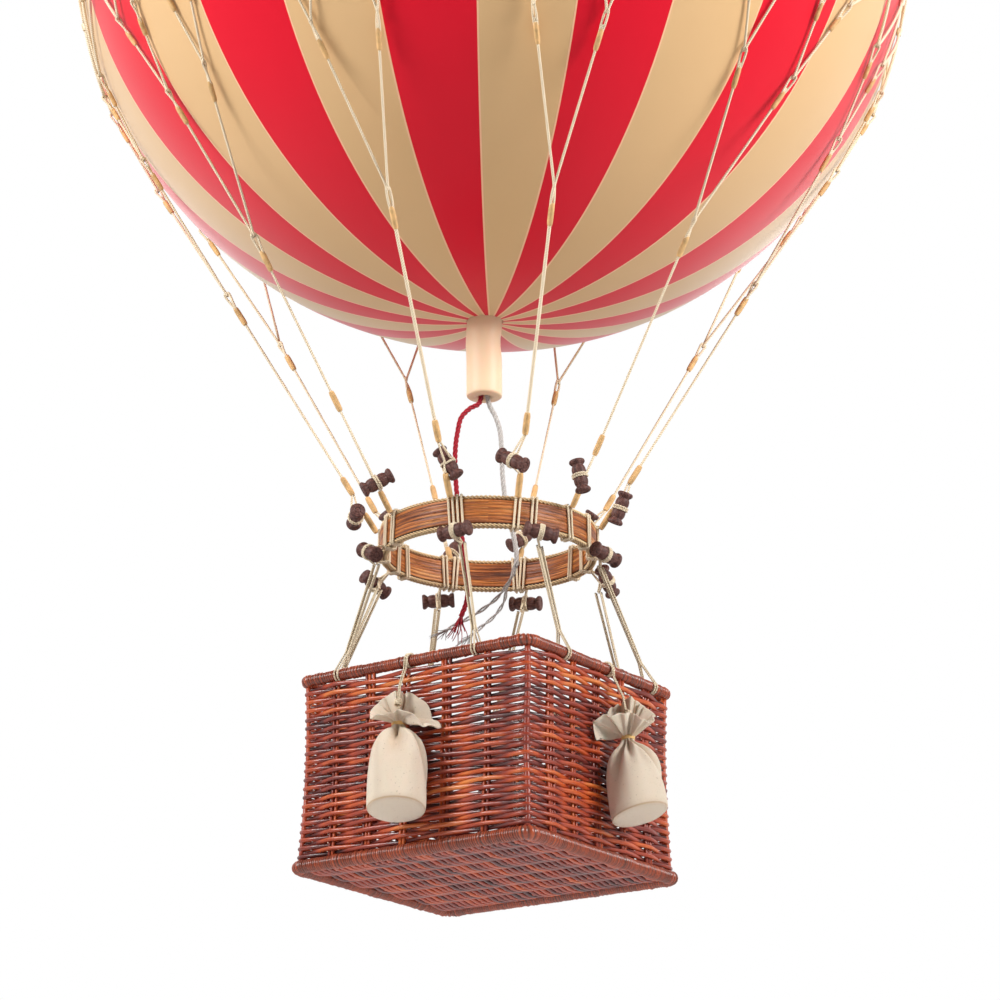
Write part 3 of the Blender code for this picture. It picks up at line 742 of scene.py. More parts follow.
def ring_material():
    values = {"Coat Weight": 0.12, "Coat Roughness": 0.35}
    made, graph, shader, _ = material("bent_wood", None, values)
    map_node = graph.add("UVMap", uv_map="along").outputs[0]
    streak = graph.noise(graph.spread(map_node, (24.0, 27.0, 1.0)), 1.0, 8.0, 0.66)
    broad = graph.noise(graph.spread(map_node, (16.0, 5.0, 1.0)), 1.0, 2.0, 0.5)
    fine = graph.noise(graph.spread(map_node, (120.0, 240.0, 1.0)), 1.0, 5.0, 0.6)
    pores = graph.noise(graph.spread(map_node, (90.0, 60.0, 1.0)), 1.0, 4.0, 0.7)
    share = graph.maths("ADD", streak, graph.maths("MULTIPLY", graph.maths("SUBTRACT", fine, 0.5), 0.35))
    share = graph.maths("ADD", share, graph.maths("MULTIPLY", graph.maths("SUBTRACT", broad, 0.5), 0.5))
    stops = (
        (0.30, rgb(58, 24, 10)),
        (0.42, rgb(134, 66, 22)),
        (0.54, rgb(190, 108, 42)),
        (0.70, rgb(226, 158, 86)),
    )
    colour = graph.ramp(share, stops)
    crack = graph.between(pores, 0.34, 0.43, 1.0, 0.0)
    colour = graph.mix(graph.maths("MULTIPLY", crack, 0.75), colour, (*rgb(44, 20, 12), 1))
    # The tone attribute is painted shade in the grooves between the slats
    groove = graph.add("Attribute", attribute_name="tone", attribute_type="GEOMETRY").outputs["Fac"]
    colour = graph.mix(graph.maths("MULTIPLY", groove, 0.8), colour, (*rgb(52, 24, 14), 1))
    graph.feed(shader.inputs["Base Color"], colour)
    graph.feed(shader.inputs["Roughness"], graph.between(streak, 0.3, 0.7, 0.58, 0.36))
    bump(graph, shader, graph.maths("ADD", share, graph.maths("MULTIPLY", crack, -0.6)), 0.0004, 0.8)
    return made


def walnut_material():
    values = {"Coat Weight": 0.05, "Coat Roughness": 0.4, "Specular IOR Level": 0.35}
    made, graph, shader, _ = material("dark_wood", None, values)
    map_node = graph.add("UVMap", uv_map="along").outputs[0]
    grain = graph.noise(graph.spread(map_node, (260.0, 16.0, 1.0)), 1.0, 6.0, 0.65)
    pore = graph.noise(graph.place(), 1900.0, 3.0, 0.7)
    stops = ((0.3, rgb(54, 30, 28)), (0.5, rgb(88, 54, 48)), (0.7, rgb(128, 88, 78)))
    share = graph.maths("ADD", grain, graph.maths("MULTIPLY", graph.maths("SUBTRACT", pore, 0.5), 0.3))
    graph.feed(shader.inputs["Base Color"], graph.ramp(share, stops))
    graph.feed(shader.inputs["Roughness"], graph.between(grain, 0.3, 0.7, 0.72, 0.52))
    bump(graph, shader, share, 0.00016, 0.5)
    return made


def willow_material(name, dark, blotch, brown, coat):
    values = {"Coat Weight": coat, "Coat Roughness": 0.2}
    made, graph, shader, effect = material(name, "willow_rod", values)
    effect.inputs["Dark"].default_value = dark
    effect.inputs["Blotch"].default_value = blotch
    colour = graph.mix(brown, effect.outputs["Colour"], (*rgb(140, 88, 56), 1), "MIX")
    graph.feed(shader.inputs["Base Color"], colour)
    graph.feed(shader.inputs["Roughness"], effect.outputs["Roughness"])
    bump(graph, shader, effect.outputs["Height"], 0.0005, 0.8)
    return made


def calico_material():
    values = {"Roughness": 0.92, "Sheen Weight": 0.3, "Specular IOR Level": 0.2, "Subsurface Weight": 0.08}
    values["Subsurface Scale"] = 0.002
    made, graph, shader, _ = material("calico", None, values)
    map_node = graph.add("UVMap", uv_map="along").outputs[0]
    parts = graph.add("SeparateXYZ", {"Vector": map_node}).outputs
    wobble = graph.noise(graph.place(), 300.0, 2.0)
    waves = []
    for part in (parts[0], parts[1]):
        turn = graph.maths("ADD", graph.maths("MULTIPLY", part, 2 * math.pi / 0.00055), wobble)
        waves.append(graph.maths("ABSOLUTE", graph.maths("SINE", turn)))
    weave = graph.maths("MULTIPLY", waves[0], waves[1])
    slub = graph.noise(graph.spread(map_node, (260.0, 2600.0, 1.0)), 1.0, 4.0, 0.6)
    fleck = graph.noise(graph.place(), 1500.0, 2.0, 0.5)
    cloud = graph.noise(graph.place(), 60.0, 3.0)
    colour = graph.mix(cloud, (*rgb(232, 214, 192), 1), (*rgb(243, 228, 208), 1))
    threads = graph.maths("MULTIPLY", graph.maths("SUBTRACT", 1.0, weave), 0.22)
    colour = graph.mix(threads, colour, (*rgb(190, 166, 128), 1))
    seed = graph.between(fleck, 0.69, 0.73, 0.0, 0.75)
    colour = graph.mix(seed, colour, (*rgb(120, 92, 62), 1))
    seam = graph.add("Attribute", attribute_name="tone", attribute_type="GEOMETRY").outputs["Fac"]
    # The tone darkens the cloth towards ochre: at the seams, and as painted shade in the folds and the mouth
    colour = graph.mix(graph.maths("MULTIPLY", seam, 0.6), colour, (*rgb(176, 132, 82), 1))
    graph.feed(shader.inputs["Base Color"], colour)
    height = graph.maths("ADD", weave, slub)
    bump(graph, shader, height, 0.00012, 0.7)
    return made


def make_materials():
    lay_group()
    rod_group()
    grain_group()
    gore_group()
    # Each cord's second colour is the painted shade between its strands
    cream = rgb(246, 232, 204)
    cream_painted_shade = rgb(212, 184, 146)
    return {
        "paint": paint_material(),
        "plastic": plastic_material(),
        "cord": cord_material("net_cord", cream, cream_painted_shade),
        "rope": cord_material("ring_rope", rgb(240, 210, 162), rgb(142, 104, 64), 3.0),
        "thread": thread_material("whipping_thread", rgb(230, 184, 124)),
        "tie": thread_material("tie_thread", rgb(250, 206, 134)),
        "red": cord_material("red_cord", rgb(196, 16, 44), rgb(96, 6, 22), 3.0),
        "white": cord_material("white_cord", rgb(226, 222, 216), rgb(150, 146, 144), 3.0),
        "ring": ring_material(),
        "walnut": walnut_material(),
        "rod": willow_material("willow_rods", 0.02, 0.5, 0.04, 0.3),
        "binding": willow_material("willow_binding", 0.06, 0.15, 0.28, 0.15),
        "calico": calico_material(),
    }


def make_camera():
    """The camera of the photograph, which stands at floor level and looks up."""
    data = bpy.data.cameras.new("photo_camera")
    data.lens = CAMERA_LENS
    data.sensor_width = SENSOR
    data.clip_end = 50.0
    camera = bpy.data.objects.new("photo_camera", data)
    bpy.context.scene.collection.objects.link(camera)
    ahead = Vector((0, math.cos(CAMERA_PITCH), math.sin(CAMERA_PITCH)))
    level_up = Vector((0, -math.sin(CAMERA_PITCH), math.cos(CAMERA_PITCH)))
    level_right = Vector((1, 0, 0))
    right = level_right * math.cos(CAMERA_ROLL) + level_up * math.sin(CAMERA_ROLL)
    up = level_up * math.cos(CAMERA_ROLL) - level_right * math.sin(CAMERA_ROLL)
    turn = Matrix((right, up, -ahead)).transposed().to_4x4()
    camera.matrix_world = Matrix.Translation(from_centre(*CAMERA_PLACE)) @ turn
    bpy.context.scene.camera = camera


def make_room():
    """White surroundings, soft lamps and the pale floor at the camera's height."""
    scene = bpy.context.scene
    scene.view_settings.view_transform = "Standard"
    scene.view_settings.look = "None"
    world = bpy.data.worlds.new("white_room")
    world.use_nodes = True
    graph = Graph(world.node_tree)
    back = world.node_tree.nodes["Background"]
    rays = graph.add("LightPath").outputs
    heading = graph.add("SeparateXYZ", {"Vector": graph.add("TexCoord").outputs["Generated"]}).outputs[1]
    room = graph.between(heading, -0.5, 0.75, 0.10, 0.95)
    back.inputs["Color"].default_value = (1, 1, 1, 1)
    graph.feed(back.inputs["Strength"], graph.maths("MAXIMUM", room, rays["Is Camera Ray"]))
    scene.world = world

    # Columns: name, azimuth, height, distance, size, power
    softboxes = (
        ("left_softbox", -58, 0.55, 1.5, 0.55, 7.5),
        ("right_softbox", 60, 0.50, 1.5, 0.55, 8.0),
        ("top_softbox", 180, 1.1, 1.0, 0.8, 3.0),
    )
    middle = Vector((0, 0, -0.40))
    for name, azimuth, height, distance, size, power in softboxes:
        lamp = bpy.data.lights.new(name, "AREA")
        lamp.shape = "SQUARE"
        lamp.size = size
        lamp.energy = power
        lamp.spread = math.radians(95)
        holder = bpy.data.objects.new(name, lamp)
        scene.collection.objects.link(holder)
        holder.location = middle + polar(distance, azimuth, height)
        holder.rotation_euler = (middle - holder.location).to_track_quat("-Z", "Y").to_euler()

    floor_z = from_centre(*CAMERA_PLACE).z - 0.012
    mesh = bpy.data.meshes.new("pale_floor")
    reach = 6.0
    corners = [(x, y, floor_z) for x, y in ((-reach, -reach), (reach, -reach), (reach, reach), (-reach, reach))]
    mesh.from_pydata(corners, [], [(0, 1, 2, 3)])
    pale, graph, shader, effect = material("pale_floor", "fine_grain", {"Roughness": 0.8})
    tone = effect.outputs["Tone"]
    graph.feed(shader.inputs["Base Color"], graph.mix(tone, (0.84, 0.84, 0.84, 1), (0.87, 0.87, 0.87, 1)))
    mesh.materials.append(pale)
    floor = bpy.data.objects.new("pale_floor", mesh)
    scene.collection.objects.link(floor)


def frayed(form, tip, direction, count, spread, length, radius, seed):
    """Loose yarns that fan out of a cord's end."""
    draw = random.Random(seed)
    direction = Vector(direction).normalized()
    for _ in range(count):
        fan = Vector((draw.uniform(-1, 1), draw.uniform(-1, 1), draw.uniform(-1, 1))) * spread
        reach = length * draw.uniform(0.6, 1.1)
        heading = (direction + fan).normalized()
        bend = Vector((draw.uniform(-1, 1), draw.uniform(-1, 1), draw.uniform(-1, 0.2))) * 0.35
        line = []
        for step in range(8):
            share = step / 7
            wave = math.sin(share * 9 + draw.uniform(0, 1)) * 0.00035 * share
            line.append(tip + (heading + bend * share) * reach * share + Vector((wave, 0, wave)))
        thin = radius * (1 - 0.5 * np.arange(8) / 7)
        tube(form, [tuple(point) for point in line], thin, 5, draw.uniform(0.2, 0.9), lay=0.002)


def make_free_cords(finishes):
    red_points = [from_centre(*point) for point in RED_ROUTE]
    line = smooth_line(red_points, 0.0006)
    form = Form()
    laid_rope(form, line, FREE_CORD)
    red = form.build("twisted_red_cord", finishes["red"])
    fray = Form()
    end = Vector(line[-1])
    ahead = Vector(line[-1] - line[-6])
    frayed(fray, end - ahead * 0.4, ahead, 16, 0.42, 0.0115, 0.00036, 5)
    tassel = fray.build("red_frayed_end", finishes["red"])
    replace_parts(red, "red_cord")
    declare_cord(red, line, tassel)

    line = smooth_line([from_centre(*point) for point in WHITE_ROUTE], 0.0006)
    form = Form()
    laid = round(len(line) * 0.66)
    laid_rope(form, line[: laid + 1], FREE_CORD)
    open_lay = ((0.0, 0.6, 1.0), (1.0, 1.25, 1.6))
    laid_rope(form, line[laid:], FREE_CORD * 0.72, 2, 0.016, 7, hold=open_lay)
    white = form.build("twisted_white_cord", finishes["white"])
    second = Form()
    strand = smooth_line([from_centre(*point) for point in WHITE_SECOND_STRAND], 0.0008)
    laid_rope(second, strand, FREE_CORD * 0.66, 2, 0.014, 7, hold=((0.0, 1.0), (0.9, 1.4)))
    loose = second.build("white_loose_strand", finishes["white"])
    fray = Form()
    for route, seed, count in ((line, 8, 12), (strand, 9, 12)):
        ahead = Vector(route[-1] - route[-6])
        frayed(fray, Vector(route[-1]) - ahead * 0.5, ahead, count, 0.38, 0.0085, 0.0003, seed)
    tassel = fray.build("white_frayed_ends", finishes["white"])
    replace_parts(white, "white_cord")
    declare_cord(white, line, tassel, loose)


def declare_cord(piece, line, *more):
    for each in (piece, *more):
        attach(each, "balloon")


def make_envelope(finishes):
    """A smooth hollow ball with its mouth at the bottom."""
    rows = []
    steps = 96
    segments = 192
    for radius, order in ((ENVELOPE_RADIUS, 1), (ENVELOPE_RADIUS - ENVELOPE_SHELL, -1)):
        mouth = math.asin(MOUTH_RADIUS / radius)
        side = []
        for step in range(steps + 1):
            angle = mouth + (math.pi - 0.002 - mouth) * step / steps
            shift = NECK_X if step == 0 else 0.0
            ring = []
            for number in range(segments):
                turn = 2 * math.pi * number / segments
                reach = radius * math.sin(angle)
                ring.append((reach * math.cos(turn) + shift, reach * math.sin(turn), CENTRE_Z - radius * math.cos(angle)))
            side.append(ring)
        rows.append(side[::order])
    form = Form()
    outer, inner = rows
    form.grid(outer, np.arange(len(outer)) * 0.01, caps=False)
    form.grid(inner, np.arange(len(inner)) * 0.01, caps=False)
    form.grid([inner[-1], outer[0]], (0.0, 0.01), caps=False)
    shell = form.build("striped_envelope", finishes["paint"])
    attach(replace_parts(shell, "envelope"), "balloon")


def make_neck(finishes):
    """A plastic tube with a slight bend, rounded at its lower edge, with a bore for two cords."""
    bends = ((0.0, 0.55), (0.2, 0.2), (0.44, -0.85), (0.5, -0.8), (0.62, -0.2), (1.0, 0.0))
    length = NECK_TOP_Z - NECK_BOTTOM_Z
    shares = [0.0, 0.06, 0.14, 0.24, 0.34, 0.42, 0.5, 0.6, 0.7, 0.8, 0.9, 0.96]
    profile = []
    for share in shares:
        squeeze = 0.00028 * math.exp(-(((share - 0.45) / 0.07) ** 2))
        profile.append((NECK_RADIUS - squeeze, NECK_TOP_Z - length * share))
    for degrees in (0, 30, 60, 90):
        angle = math.radians(degrees)
        edge = 0.0011
        profile.append((NECK_RADIUS - edge + edge * math.cos(angle), NECK_BOTTOM_Z + edge - edge * math.sin(angle)))
    profile.append((NECK_RADIUS * 0.6, NECK_BOTTOM_Z + 0.0001))
    profile.append((NECK_BORE + 0.0004, NECK_BOTTOM_Z))
    profile.append((NECK_BORE, NECK_BOTTOM_Z + 0.0006))
    profile.append((NECK_BORE, NECK_TOP_Z))
    rows = []
    for radius, z in profile:
        share = (NECK_TOP_Z - z) / length
        shift = NECK_X + np.interp(share, *zip(*bends)) * MM
        ring = []
        for number in range(64):
            turn = 2 * math.pi * number / 64
            ring.append((shift + radius * math.cos(turn), radius * math.sin(turn), z))
        rows.append(ring)
    form = Form()
    form.grid(rows, [z for _, z in profile], closed=True)
    neck = form.build("bent_neck_tube", finishes["plastic"])
    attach(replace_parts(neck, "neck_tube"), "balloon")


def make_crown(finishes):
    ring_z = CENTRE_Z + math.sqrt((ENVELOPE_RADIUS + CROWN_RING_CORD + 0.0003) ** 2 - CROWN_RING_RADIUS**2)
    circle = [polar(CROWN_RING_RADIUS, 7.5 * step, ring_z) for step in range(48)]
    form = Form()
    line = smooth_line(circle, 0.0009, closed=True)
    tube(form, line, CROWN_RING_CORD, 12, closed=True, lobes=4, lay=0.011, depth=0.3)
    grommet = form.build("twisted_crown_ring", finishes["cord"])
    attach(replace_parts(grommet, "crown_ring"), "balloon")

    foot_z = CENTRE_Z + ENVELOPE_RADIUS + 0.0003
    half = LOOP_WIDTH / 2
    arch_z = LOOP_CORD - half
    points = [Vector((0.0012, 0, foot_z + 0.003)), Vector((0.0020, 0, foot_z + COLLAR_HEIGHT))]
    points.append(Vector((0.0062, 0, foot_z + COLLAR_HEIGHT + 0.0060)))
    for step in range(13):
        angle = math.pi * step / 12
        points.append(Vector((half * math.cos(angle), 0, arch_z + half * math.sin(angle))))
    for point in (points[2], points[1], points[0]):
        points.append(Vector((-point.x, point.y, point.z)))
    form = Form()
    line = smooth_line(points, 0.0007)
    tube(form, line, LOOP_CORD, 9, lobes=3, lay=0.0065)
    form.finish = 1
    whipping(form, (0, 0, foot_z + COLLAR_HEIGHT / 2), (0, 0, 1), COLLAR_HEIGHT, 0.0045)
    loop = form.build("twisted_hanging_loop", finishes["cord"], finishes["thread"])
    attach(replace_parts(loop, "hanging_loop"), "balloon")


def make_load_ring(finishes):
    """The bent band, with the grooves between its split slats, and a rope on each edge."""
    draw = random.Random(11)
    segments = 240
    waves = [(draw.uniform(0, 6.28), draw.randint(2, 5)) for _ in range(RING_SLATS)]
    heights = []
    for slat in range(RING_SLATS):
        for share, sunk in ((0.0, 1.0), (0.16, 0.25), (0.5, 0.0), (0.84, 0.25)):
            heights.append(((slat + share) / RING_SLATS, sunk, slat))
    rows = []
    tones = []
    for face, radius in ((1, RING_OUTER), (-1, RING_OUTER - RING_WALL)):
        for share, sunk, slat in heights if face > 0 else reversed(heights):
            ring = []
            for number in range(segments):
                turn = 2 * math.pi * number / segments
                start, cycles = waves[slat]
                sway = 0.0003 * math.sin(turn * cycles + start) if 0 < share < 1 else 0.0
                depth = 0.00028 * sunk * (1 + 0.5 * math.sin(turn * (cycles + 4) + 2 * start))
                reach = radius - face * depth
                z = RING_BOTTOM_Z + RING_HEIGHT * min(max(share, 0.03), 0.97) + sway
                ring.append((reach * math.sin(turn), -reach * math.cos(turn), z))
            rows.append(ring)
            # Painted shade: the tone darkens the grooves between the slats
            tones.append(np.full(segments, 0.75 * sunk**2))
    rows = np.transpose(np.array(rows), (1, 0, 2))
    tones = np.transpose(np.array(tones))
    along = 2 * math.pi * RING_OUTER * np.arange(segments) / segments
    form = Form()
    form.grid(rows, along, tones, closed=True)
    band = form.build("bent_wood_band", finishes["ring"])
    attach(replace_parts(band, "load_ring"), "balloon")

    middle = RING_OUTER - RING_WALL / 2
    for node, z in (("ring_cord_upper", RING_TOP_Z + RING_ROPE), ("ring_cord_lower", RING_BOTTOM_Z - RING_ROPE)):
        form = Form()
        for reach in (middle + 0.0011, middle - 0.0011):
            circle = [polar(reach, 6 * step, z) for step in range(60)]
            line = smooth_line(circle, 0.0007, closed=True)
            tube(form, line, RING_ROPE * 1.15, 6, closed=True, lobes=3, lay=0.0062, depth=0.34)
        rope = form.build(node.replace("cord", "rope"), finishes["rope"])
        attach(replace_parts(rope, node), "balloon")


def band_turns(form, azimuth, count, spread=0.0021, lean=0.0):
    """Turns of cord lashed round the band at this azimuth."""
    outer = RING_OUTER + LINE * 0.9
    inner = RING_OUTER - RING_WALL - LINE * 0.9
    top = RING_TOP_Z + 2 * RING_ROPE + LINE * 0.5
    bottom = RING_BOTTOM_Z - 2 * RING_ROPE - LINE * 0.5
    for turn in range(count):
        shift = math.degrees((turn - (count - 1) / 2) * spread / RING_OUTER)
        tilt = math.degrees(lean / RING_OUTER)
        corners = (
            (outer, top, tilt),
            (outer, bottom, -tilt),
            (inner, bottom, -tilt),
            (inner, top, tilt),
        )
        points = [polar(reach, azimuth + shift + more, z) for reach, z, more in corners]
        cord_run(form, points, LINE, closed=True, corner=0.0022, tone=0.4 + 0.1 * turn)


def leg_axes(azimuth, foot_azimuth):
    """Foot on the ring, tip of the eye, direction up, across and outward of one net cord."""
    foot = polar(LASH_RADIUS, foot_azimuth, RING_TOP_Z)
    tip = polar(EYE_RADIUS, azimuth, EYE_Z)
    up = (tip - foot).normalized()
    across = polar(1, azimuth + 90, 0)
    return foot, tip, up, across, across.cross(up).normalized() * -1


def spool(node):
    """Middle and axis of a toggle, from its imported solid."""
    mesh = bpy.data.objects[node].data
    points = np.array([tuple(vert.co) for vert in mesh.vertices])
    middle = (points.min(0) + points.max(0)) / 2
    _, directions = np.linalg.eigh(np.cov((points - middle).T))
    return Vector(middle), Vector(directions[:, -1])


def around_toggle(middle, axis, end, split):
    """A strand from a whipping's end, round one side of a toggle's waist."""
    towards = end - middle
    towards = (towards - axis * towards.dot(axis)).normalized()
    side = axis.cross(towards) * (1 if split > 0 else -1)
    reach = TOGGLE_WAIST + LINE * 0.5
    points = [end + side * LINE * 0.8]
    for degrees in (30, 60, 90, 120, 150, 172):
        angle = math.radians(degrees)
        points.append(middle + (towards * math.cos(angle) + side * math.sin(angle)) * reach)
    return points


def toggle_bight(form, middle, axis, end, shift, tone=0.5):
    """A loop from a whipping's end down round a toggle's waist and back."""
    place = middle + axis * shift
    near = around_toggle(place, axis, end, 1)
    far = around_toggle(place, axis, end, -1)
    points = near + list(reversed(far))
    cord_run(form, points, LINE * 0.9, corner=0.004, tone=tone)


def make_net(finishes):
    """Ten net cords, each with its toggle eye, whippings, eyes and its share of the upper net."""
    knots = []
    for index, latitude in enumerate(MESH_ROWS):
        shift = 0.5 * (index % 2)
        row = [at_latitude((column + shift) * 360 / MESH_COLUMNS - 36, latitude, MESH_LIFT) for column in range(MESH_COLUMNS)]
        knots.append(row)
    second_eyes = sorted(azimuth for legs in NET_BRANCHES for _, pair in legs for azimuth in pair)
    for number, (row, branches) in enumerate(zip(NET_CORDS, NET_BRANCHES), 1):
        azimuth, foot_azimuth, whipped, thick = row
        form = Form()
        foot, tip, up, across, out = leg_axes(azimuth, foot_azimuth)
        middle, axis = spool(f"upper_toggle_{number:02d}")

        band_turns(form, foot_azimuth, 2, lean=0.0006 * (-1) ** number)
        strop_top = foot + up * 0.0125
        toggle_bight(form, middle, axis, strop_top, -0.00055, 0.35)
        low_end = foot + up * (whipped * MM - WHIPPING_LENGTH / 2)
        toggle_bight(form, middle, axis, low_end, 0.00055, 0.6)
        eye_foot = tip - up * (EYE_LENGTH - WHIPPING_LENGTH / 2 - 0.001)
        cord_run(form, [low_end + up * 0.002, eye_foot - up * 0.004], thick * MM)
        eye = eye_points(eye_foot - up * 0.003, tip, across, out, EYE_HALF)
        cord_run(form, eye, CORD, corner=0.004)

        ends = []
        for first_azimuth, pair in branches:
            first_tip = on_sphere(first_azimuth, FIRST_EYES_Z * MM, NET_LIFT)
            ends.append((first_tip, pair))
        arms_of(form, tip, up, [end for end, _ in ends])
        lower = WHIPPING + (thick - 0.6) * MM * 0.6
        whips = [(foot + up * 0.0068, up, 0.0115, lower), (foot + up * whipped * MM, up, WHIPPING_LENGTH, lower)]
        whips.append((tip - up * EYE_LENGTH, up, WHIPPING_LENGTH, WHIPPING))
        for first_tip, pair in ends:
            arm_up = (first_tip - tip).normalized()
            end_arm(form, first_tip, arm_up)
            whips.append((first_tip - arm_up * EYE_LENGTH, arm_up, WHIPPING_LENGTH * 0.95, WHIPPING * 0.92))
            second_tips = [on_sphere(each, SECOND_EYES_Z * MM, NET_LIFT * 0.9) for each in pair]
            arms_of(form, first_tip, arm_up, second_tips)
            for each, second_tip in zip(pair, second_tips):
                second_up = (second_tip - first_tip).normalized()
                end_arm(form, second_tip, second_up)
                whips.append((second_tip - second_up * EYE_LENGTH * 0.9, second_up, WHIPPING_LENGTH * 0.85, WHIPPING * 0.85))
                column = second_eyes.index(each)
                tops = [knots[0][(column + more) % MESH_COLUMNS] for more in (0, 1)]
                mesh_edges(form, [(second_tip, top) for top in tops])
        upper_mesh(form, knots, 4 * (number - 1))
        form.finish = 1
        for place, direction, length, radius in whips:
            whipping(form, place, direction, length, radius)
        net = form.build(f"net_lines_{number:02d}", finishes["cord"], finishes["thread"])
        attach(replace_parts(net, f"net_cord_{number:02d}"), "balloon")


def arms_of(form, tip, up, ends):
    """A cord that passes through an eye, with an arm up to each of two ends."""
    points = []
    left, right = ends
    for end in (left, right):
        arm = (end - tip).normalized()
        stop = end - arm * (EYE_LENGTH - WHIPPING_LENGTH / 2 - 0.002)
        part = [stop, tip + arm * 0.0035 - up * 0.0002]
        points.append(part)
    bottom = tip - up * 0.0009
    cord_run(form, points[0] + [bottom] + points[1][::-1], CORD, corner=0.004)


def end_arm(form, tip, up):
    """The eye at the top of an arm."""
    out = (tip - Vector((0, 0, CENTRE_Z))).normalized()
    across = up.cross(out).normalized()
    foot = tip - up * (EYE_LENGTH - WHIPPING_LENGTH / 2 + 0.002)
    cord_run(form, eye_points(foot, tip, across, out, EYE_HALF), CORD * 0.9, corner=0.004)


def mesh_edges(form, pairs):
    """Straight runs of the upper net, bowed to lie on the envelope."""
    centre = Vector((0, 0, CENTRE_Z))
    for start, end in pairs:
        line = []
        steps = max(4, round((end - start).length / 0.0045))
        for step in range(steps + 1):
            share = step / steps
            reach = (start - centre).length * (1 - share) + (end - centre).length * share
            line.append(tuple(centre + (start.lerp(end, share) - centre).normalized() * reach))
        tube(form, line, MESH_CORD, 6)


def upper_mesh(form, knots, first_column):
    """This cord's four columns of diamonds, and their lines to the crown ring."""
    pairs = []
    for index, row in enumerate(knots):
        for column in range(first_column, first_column + 4):
            knot = row[column]
            if index + 1 < len(knots):
                step = (0, -1) if index % 2 == 0 else (0, 1)
                for more in step:
                    pairs.append((knot, knots[index + 1][(column + more) % MESH_COLUMNS]))
            else:
                azimuth = math.degrees(math.atan2(knot.x, -knot.y))
                pairs.append((knot, at_latitude(azimuth, 86.2, MESH_LIFT)))
            out = (knot - Vector((0, 0, CENTRE_Z))).normalized()
            whip = Vector((0, 0, 1)).cross(out).normalized().cross(out)
            whipping(form, knot, whip, 0.0042, 0.0016)
    mesh_edges(form, pairs)


def make_toggles(finishes):
    """Turned spools: a rounded flange at each end, a groove, and a ribbed barrel with a waist."""
    half = TOGGLE_LENGTH / 2
    side = (
        (0.0005, half - 0.0002),
        (0.0011, half - 0.0002),
        (0.0013, half - 0.0005),
        (0.0016, half - 0.0005),
        (0.0018, half - 0.0001),
        (0.0026, half - 0.0001),
        (0.0027, half - 0.0003),
        (0.0029, half - 0.0001),
        (TOGGLE_FLANGE - 0.0006, half),
        (TOGGLE_FLANGE - 0.0002, half - 0.0003),
        (TOGGLE_FLANGE, half - 0.0009),
        (TOGGLE_FLANGE - 0.0001, half - 0.0015),
        (TOGGLE_FLANGE - 0.0005, half - 0.0020),
        (TOGGLE_GROOVE + 0.0002, half - 0.0025),
        (TOGGLE_GROOVE, half - 0.0029),
        (TOGGLE_GROOVE + 0.0003, half - 0.0034),
        (TOGGLE_BARREL - 0.0003, half - 0.0038),
        (TOGGLE_BARREL - 0.0001, half - 0.0045),
        (TOGGLE_BARREL, 0.0022),
        (TOGGLE_WAIST, 0.0014),
    )
    profile = list(side) + [(TOGGLE_WAIST, 0.0)] + [(radius, -z) for radius, z in reversed(side)]
    names = [f"upper_toggle_{number:02d}" for number in range(1, 11)]
    names += [f"lower_toggle_{number}" for number in range(1, 9)]
    for name in names:
        middle, axis = spool(name)
        cross = axis.orthogonal().normalized()
        other = axis.cross(cross)
        rows = []
        for radius, z in profile:
            ring = []
            for number in range(28):
                turn = 2 * math.pi * number / 28
                ring.append(tuple(middle + axis * z + (cross * math.cos(turn) + other * math.sin(turn)) * radius))
            rows.append(ring)
        form = Form()
        form.grid(rows, [z + len(name) for _, z in profile])
        piece = form.build(f"turned_{name}", finishes["walnut"])
        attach(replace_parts(piece, name), "balloon")


def side_frame(side_name):
    """Axis number, outward normal and direction along this basket side, at its real turn."""
    for name, axis, sign in SIDES:
        if name == side_name:
            normal = Vector((0, 0, 0))
            normal[axis] = sign
            along = Vector((1, 0, 0)) if axis == 1 else Vector((0, 1, 0))
            turn = Matrix.Rotation(BASKET_TURN, 3, "Z")
            return axis, turn @ normal, turn @ along
    raise ValueError(side_name)


def rim_point(side_name, place):
    axis, normal, along = side_frame(side_name)
    return normal * RIM_HALF[axis] + along * place * MM + Vector((0, 0, RIM_Z))


def make_basket_cords(finishes):
    """From a toggle under the ring down to the rim: four thin strands that turn round the rim as two loops."""
    down = Vector((0, 0, -1))
    for number, (azimuth, side_name, place, depth) in enumerate(BASKET_CORDS, 1):
        form = Form()
        top = polar(LASH_RADIUS, azimuth, RING_BOTTOM_Z)
        rim = rim_point(side_name, place)
        _, normal, along = side_frame(side_name)
        middle, axis = spool(f"lower_toggle_{number}")
        towards = (rim - top).normalized()
        share = (top.z - RING_TOP_Z + depth * MM) / (top.z - rim.z)
        split = top.lerp(rim, share) + towards * 0.0040
        gather = split.lerp(rim, 0.80)
        band_turns(form, azimuth, 2, lean=0.0005 * (-1) ** number)
        strop_end = top + Vector((0, 0, -2 * RING_ROPE))
        toggle_bight(form, middle, axis, strop_end, -0.0007, 0.4)
        toggle_bight(form, middle, axis, strop_end, 0.0001, 0.5)
        toggle_bight(form, middle, axis, split, 0.0008, 0.55)
        reach = RIM_ROLL + STRAND
        for turn, shift in enumerate((-1, 1)):
            base = rim + along * shift * 0.00085
            loop = []
            for step in range(9):
                angle = math.radians(-20 + 27.5 * step)
                loop.append(base + (normal * math.cos(angle) + down * math.sin(angle)) * reach)
            high = along * shift * 0.0015
            offset = along * shift * 0.0008
            front = normal * STRAND * 0.95
            start = [split + high + front, gather + offset + front]
            back = [gather + offset - front, split + high - front]
            cord_run(form, start + loop + back, STRAND, corner=0.003, tone=0.45 + 0.1 * turn)
        cord = form.build(f"basket_line_{number}", finishes["cord"])
        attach(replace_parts(cord, f"basket_cord_{number}"), "balloon")


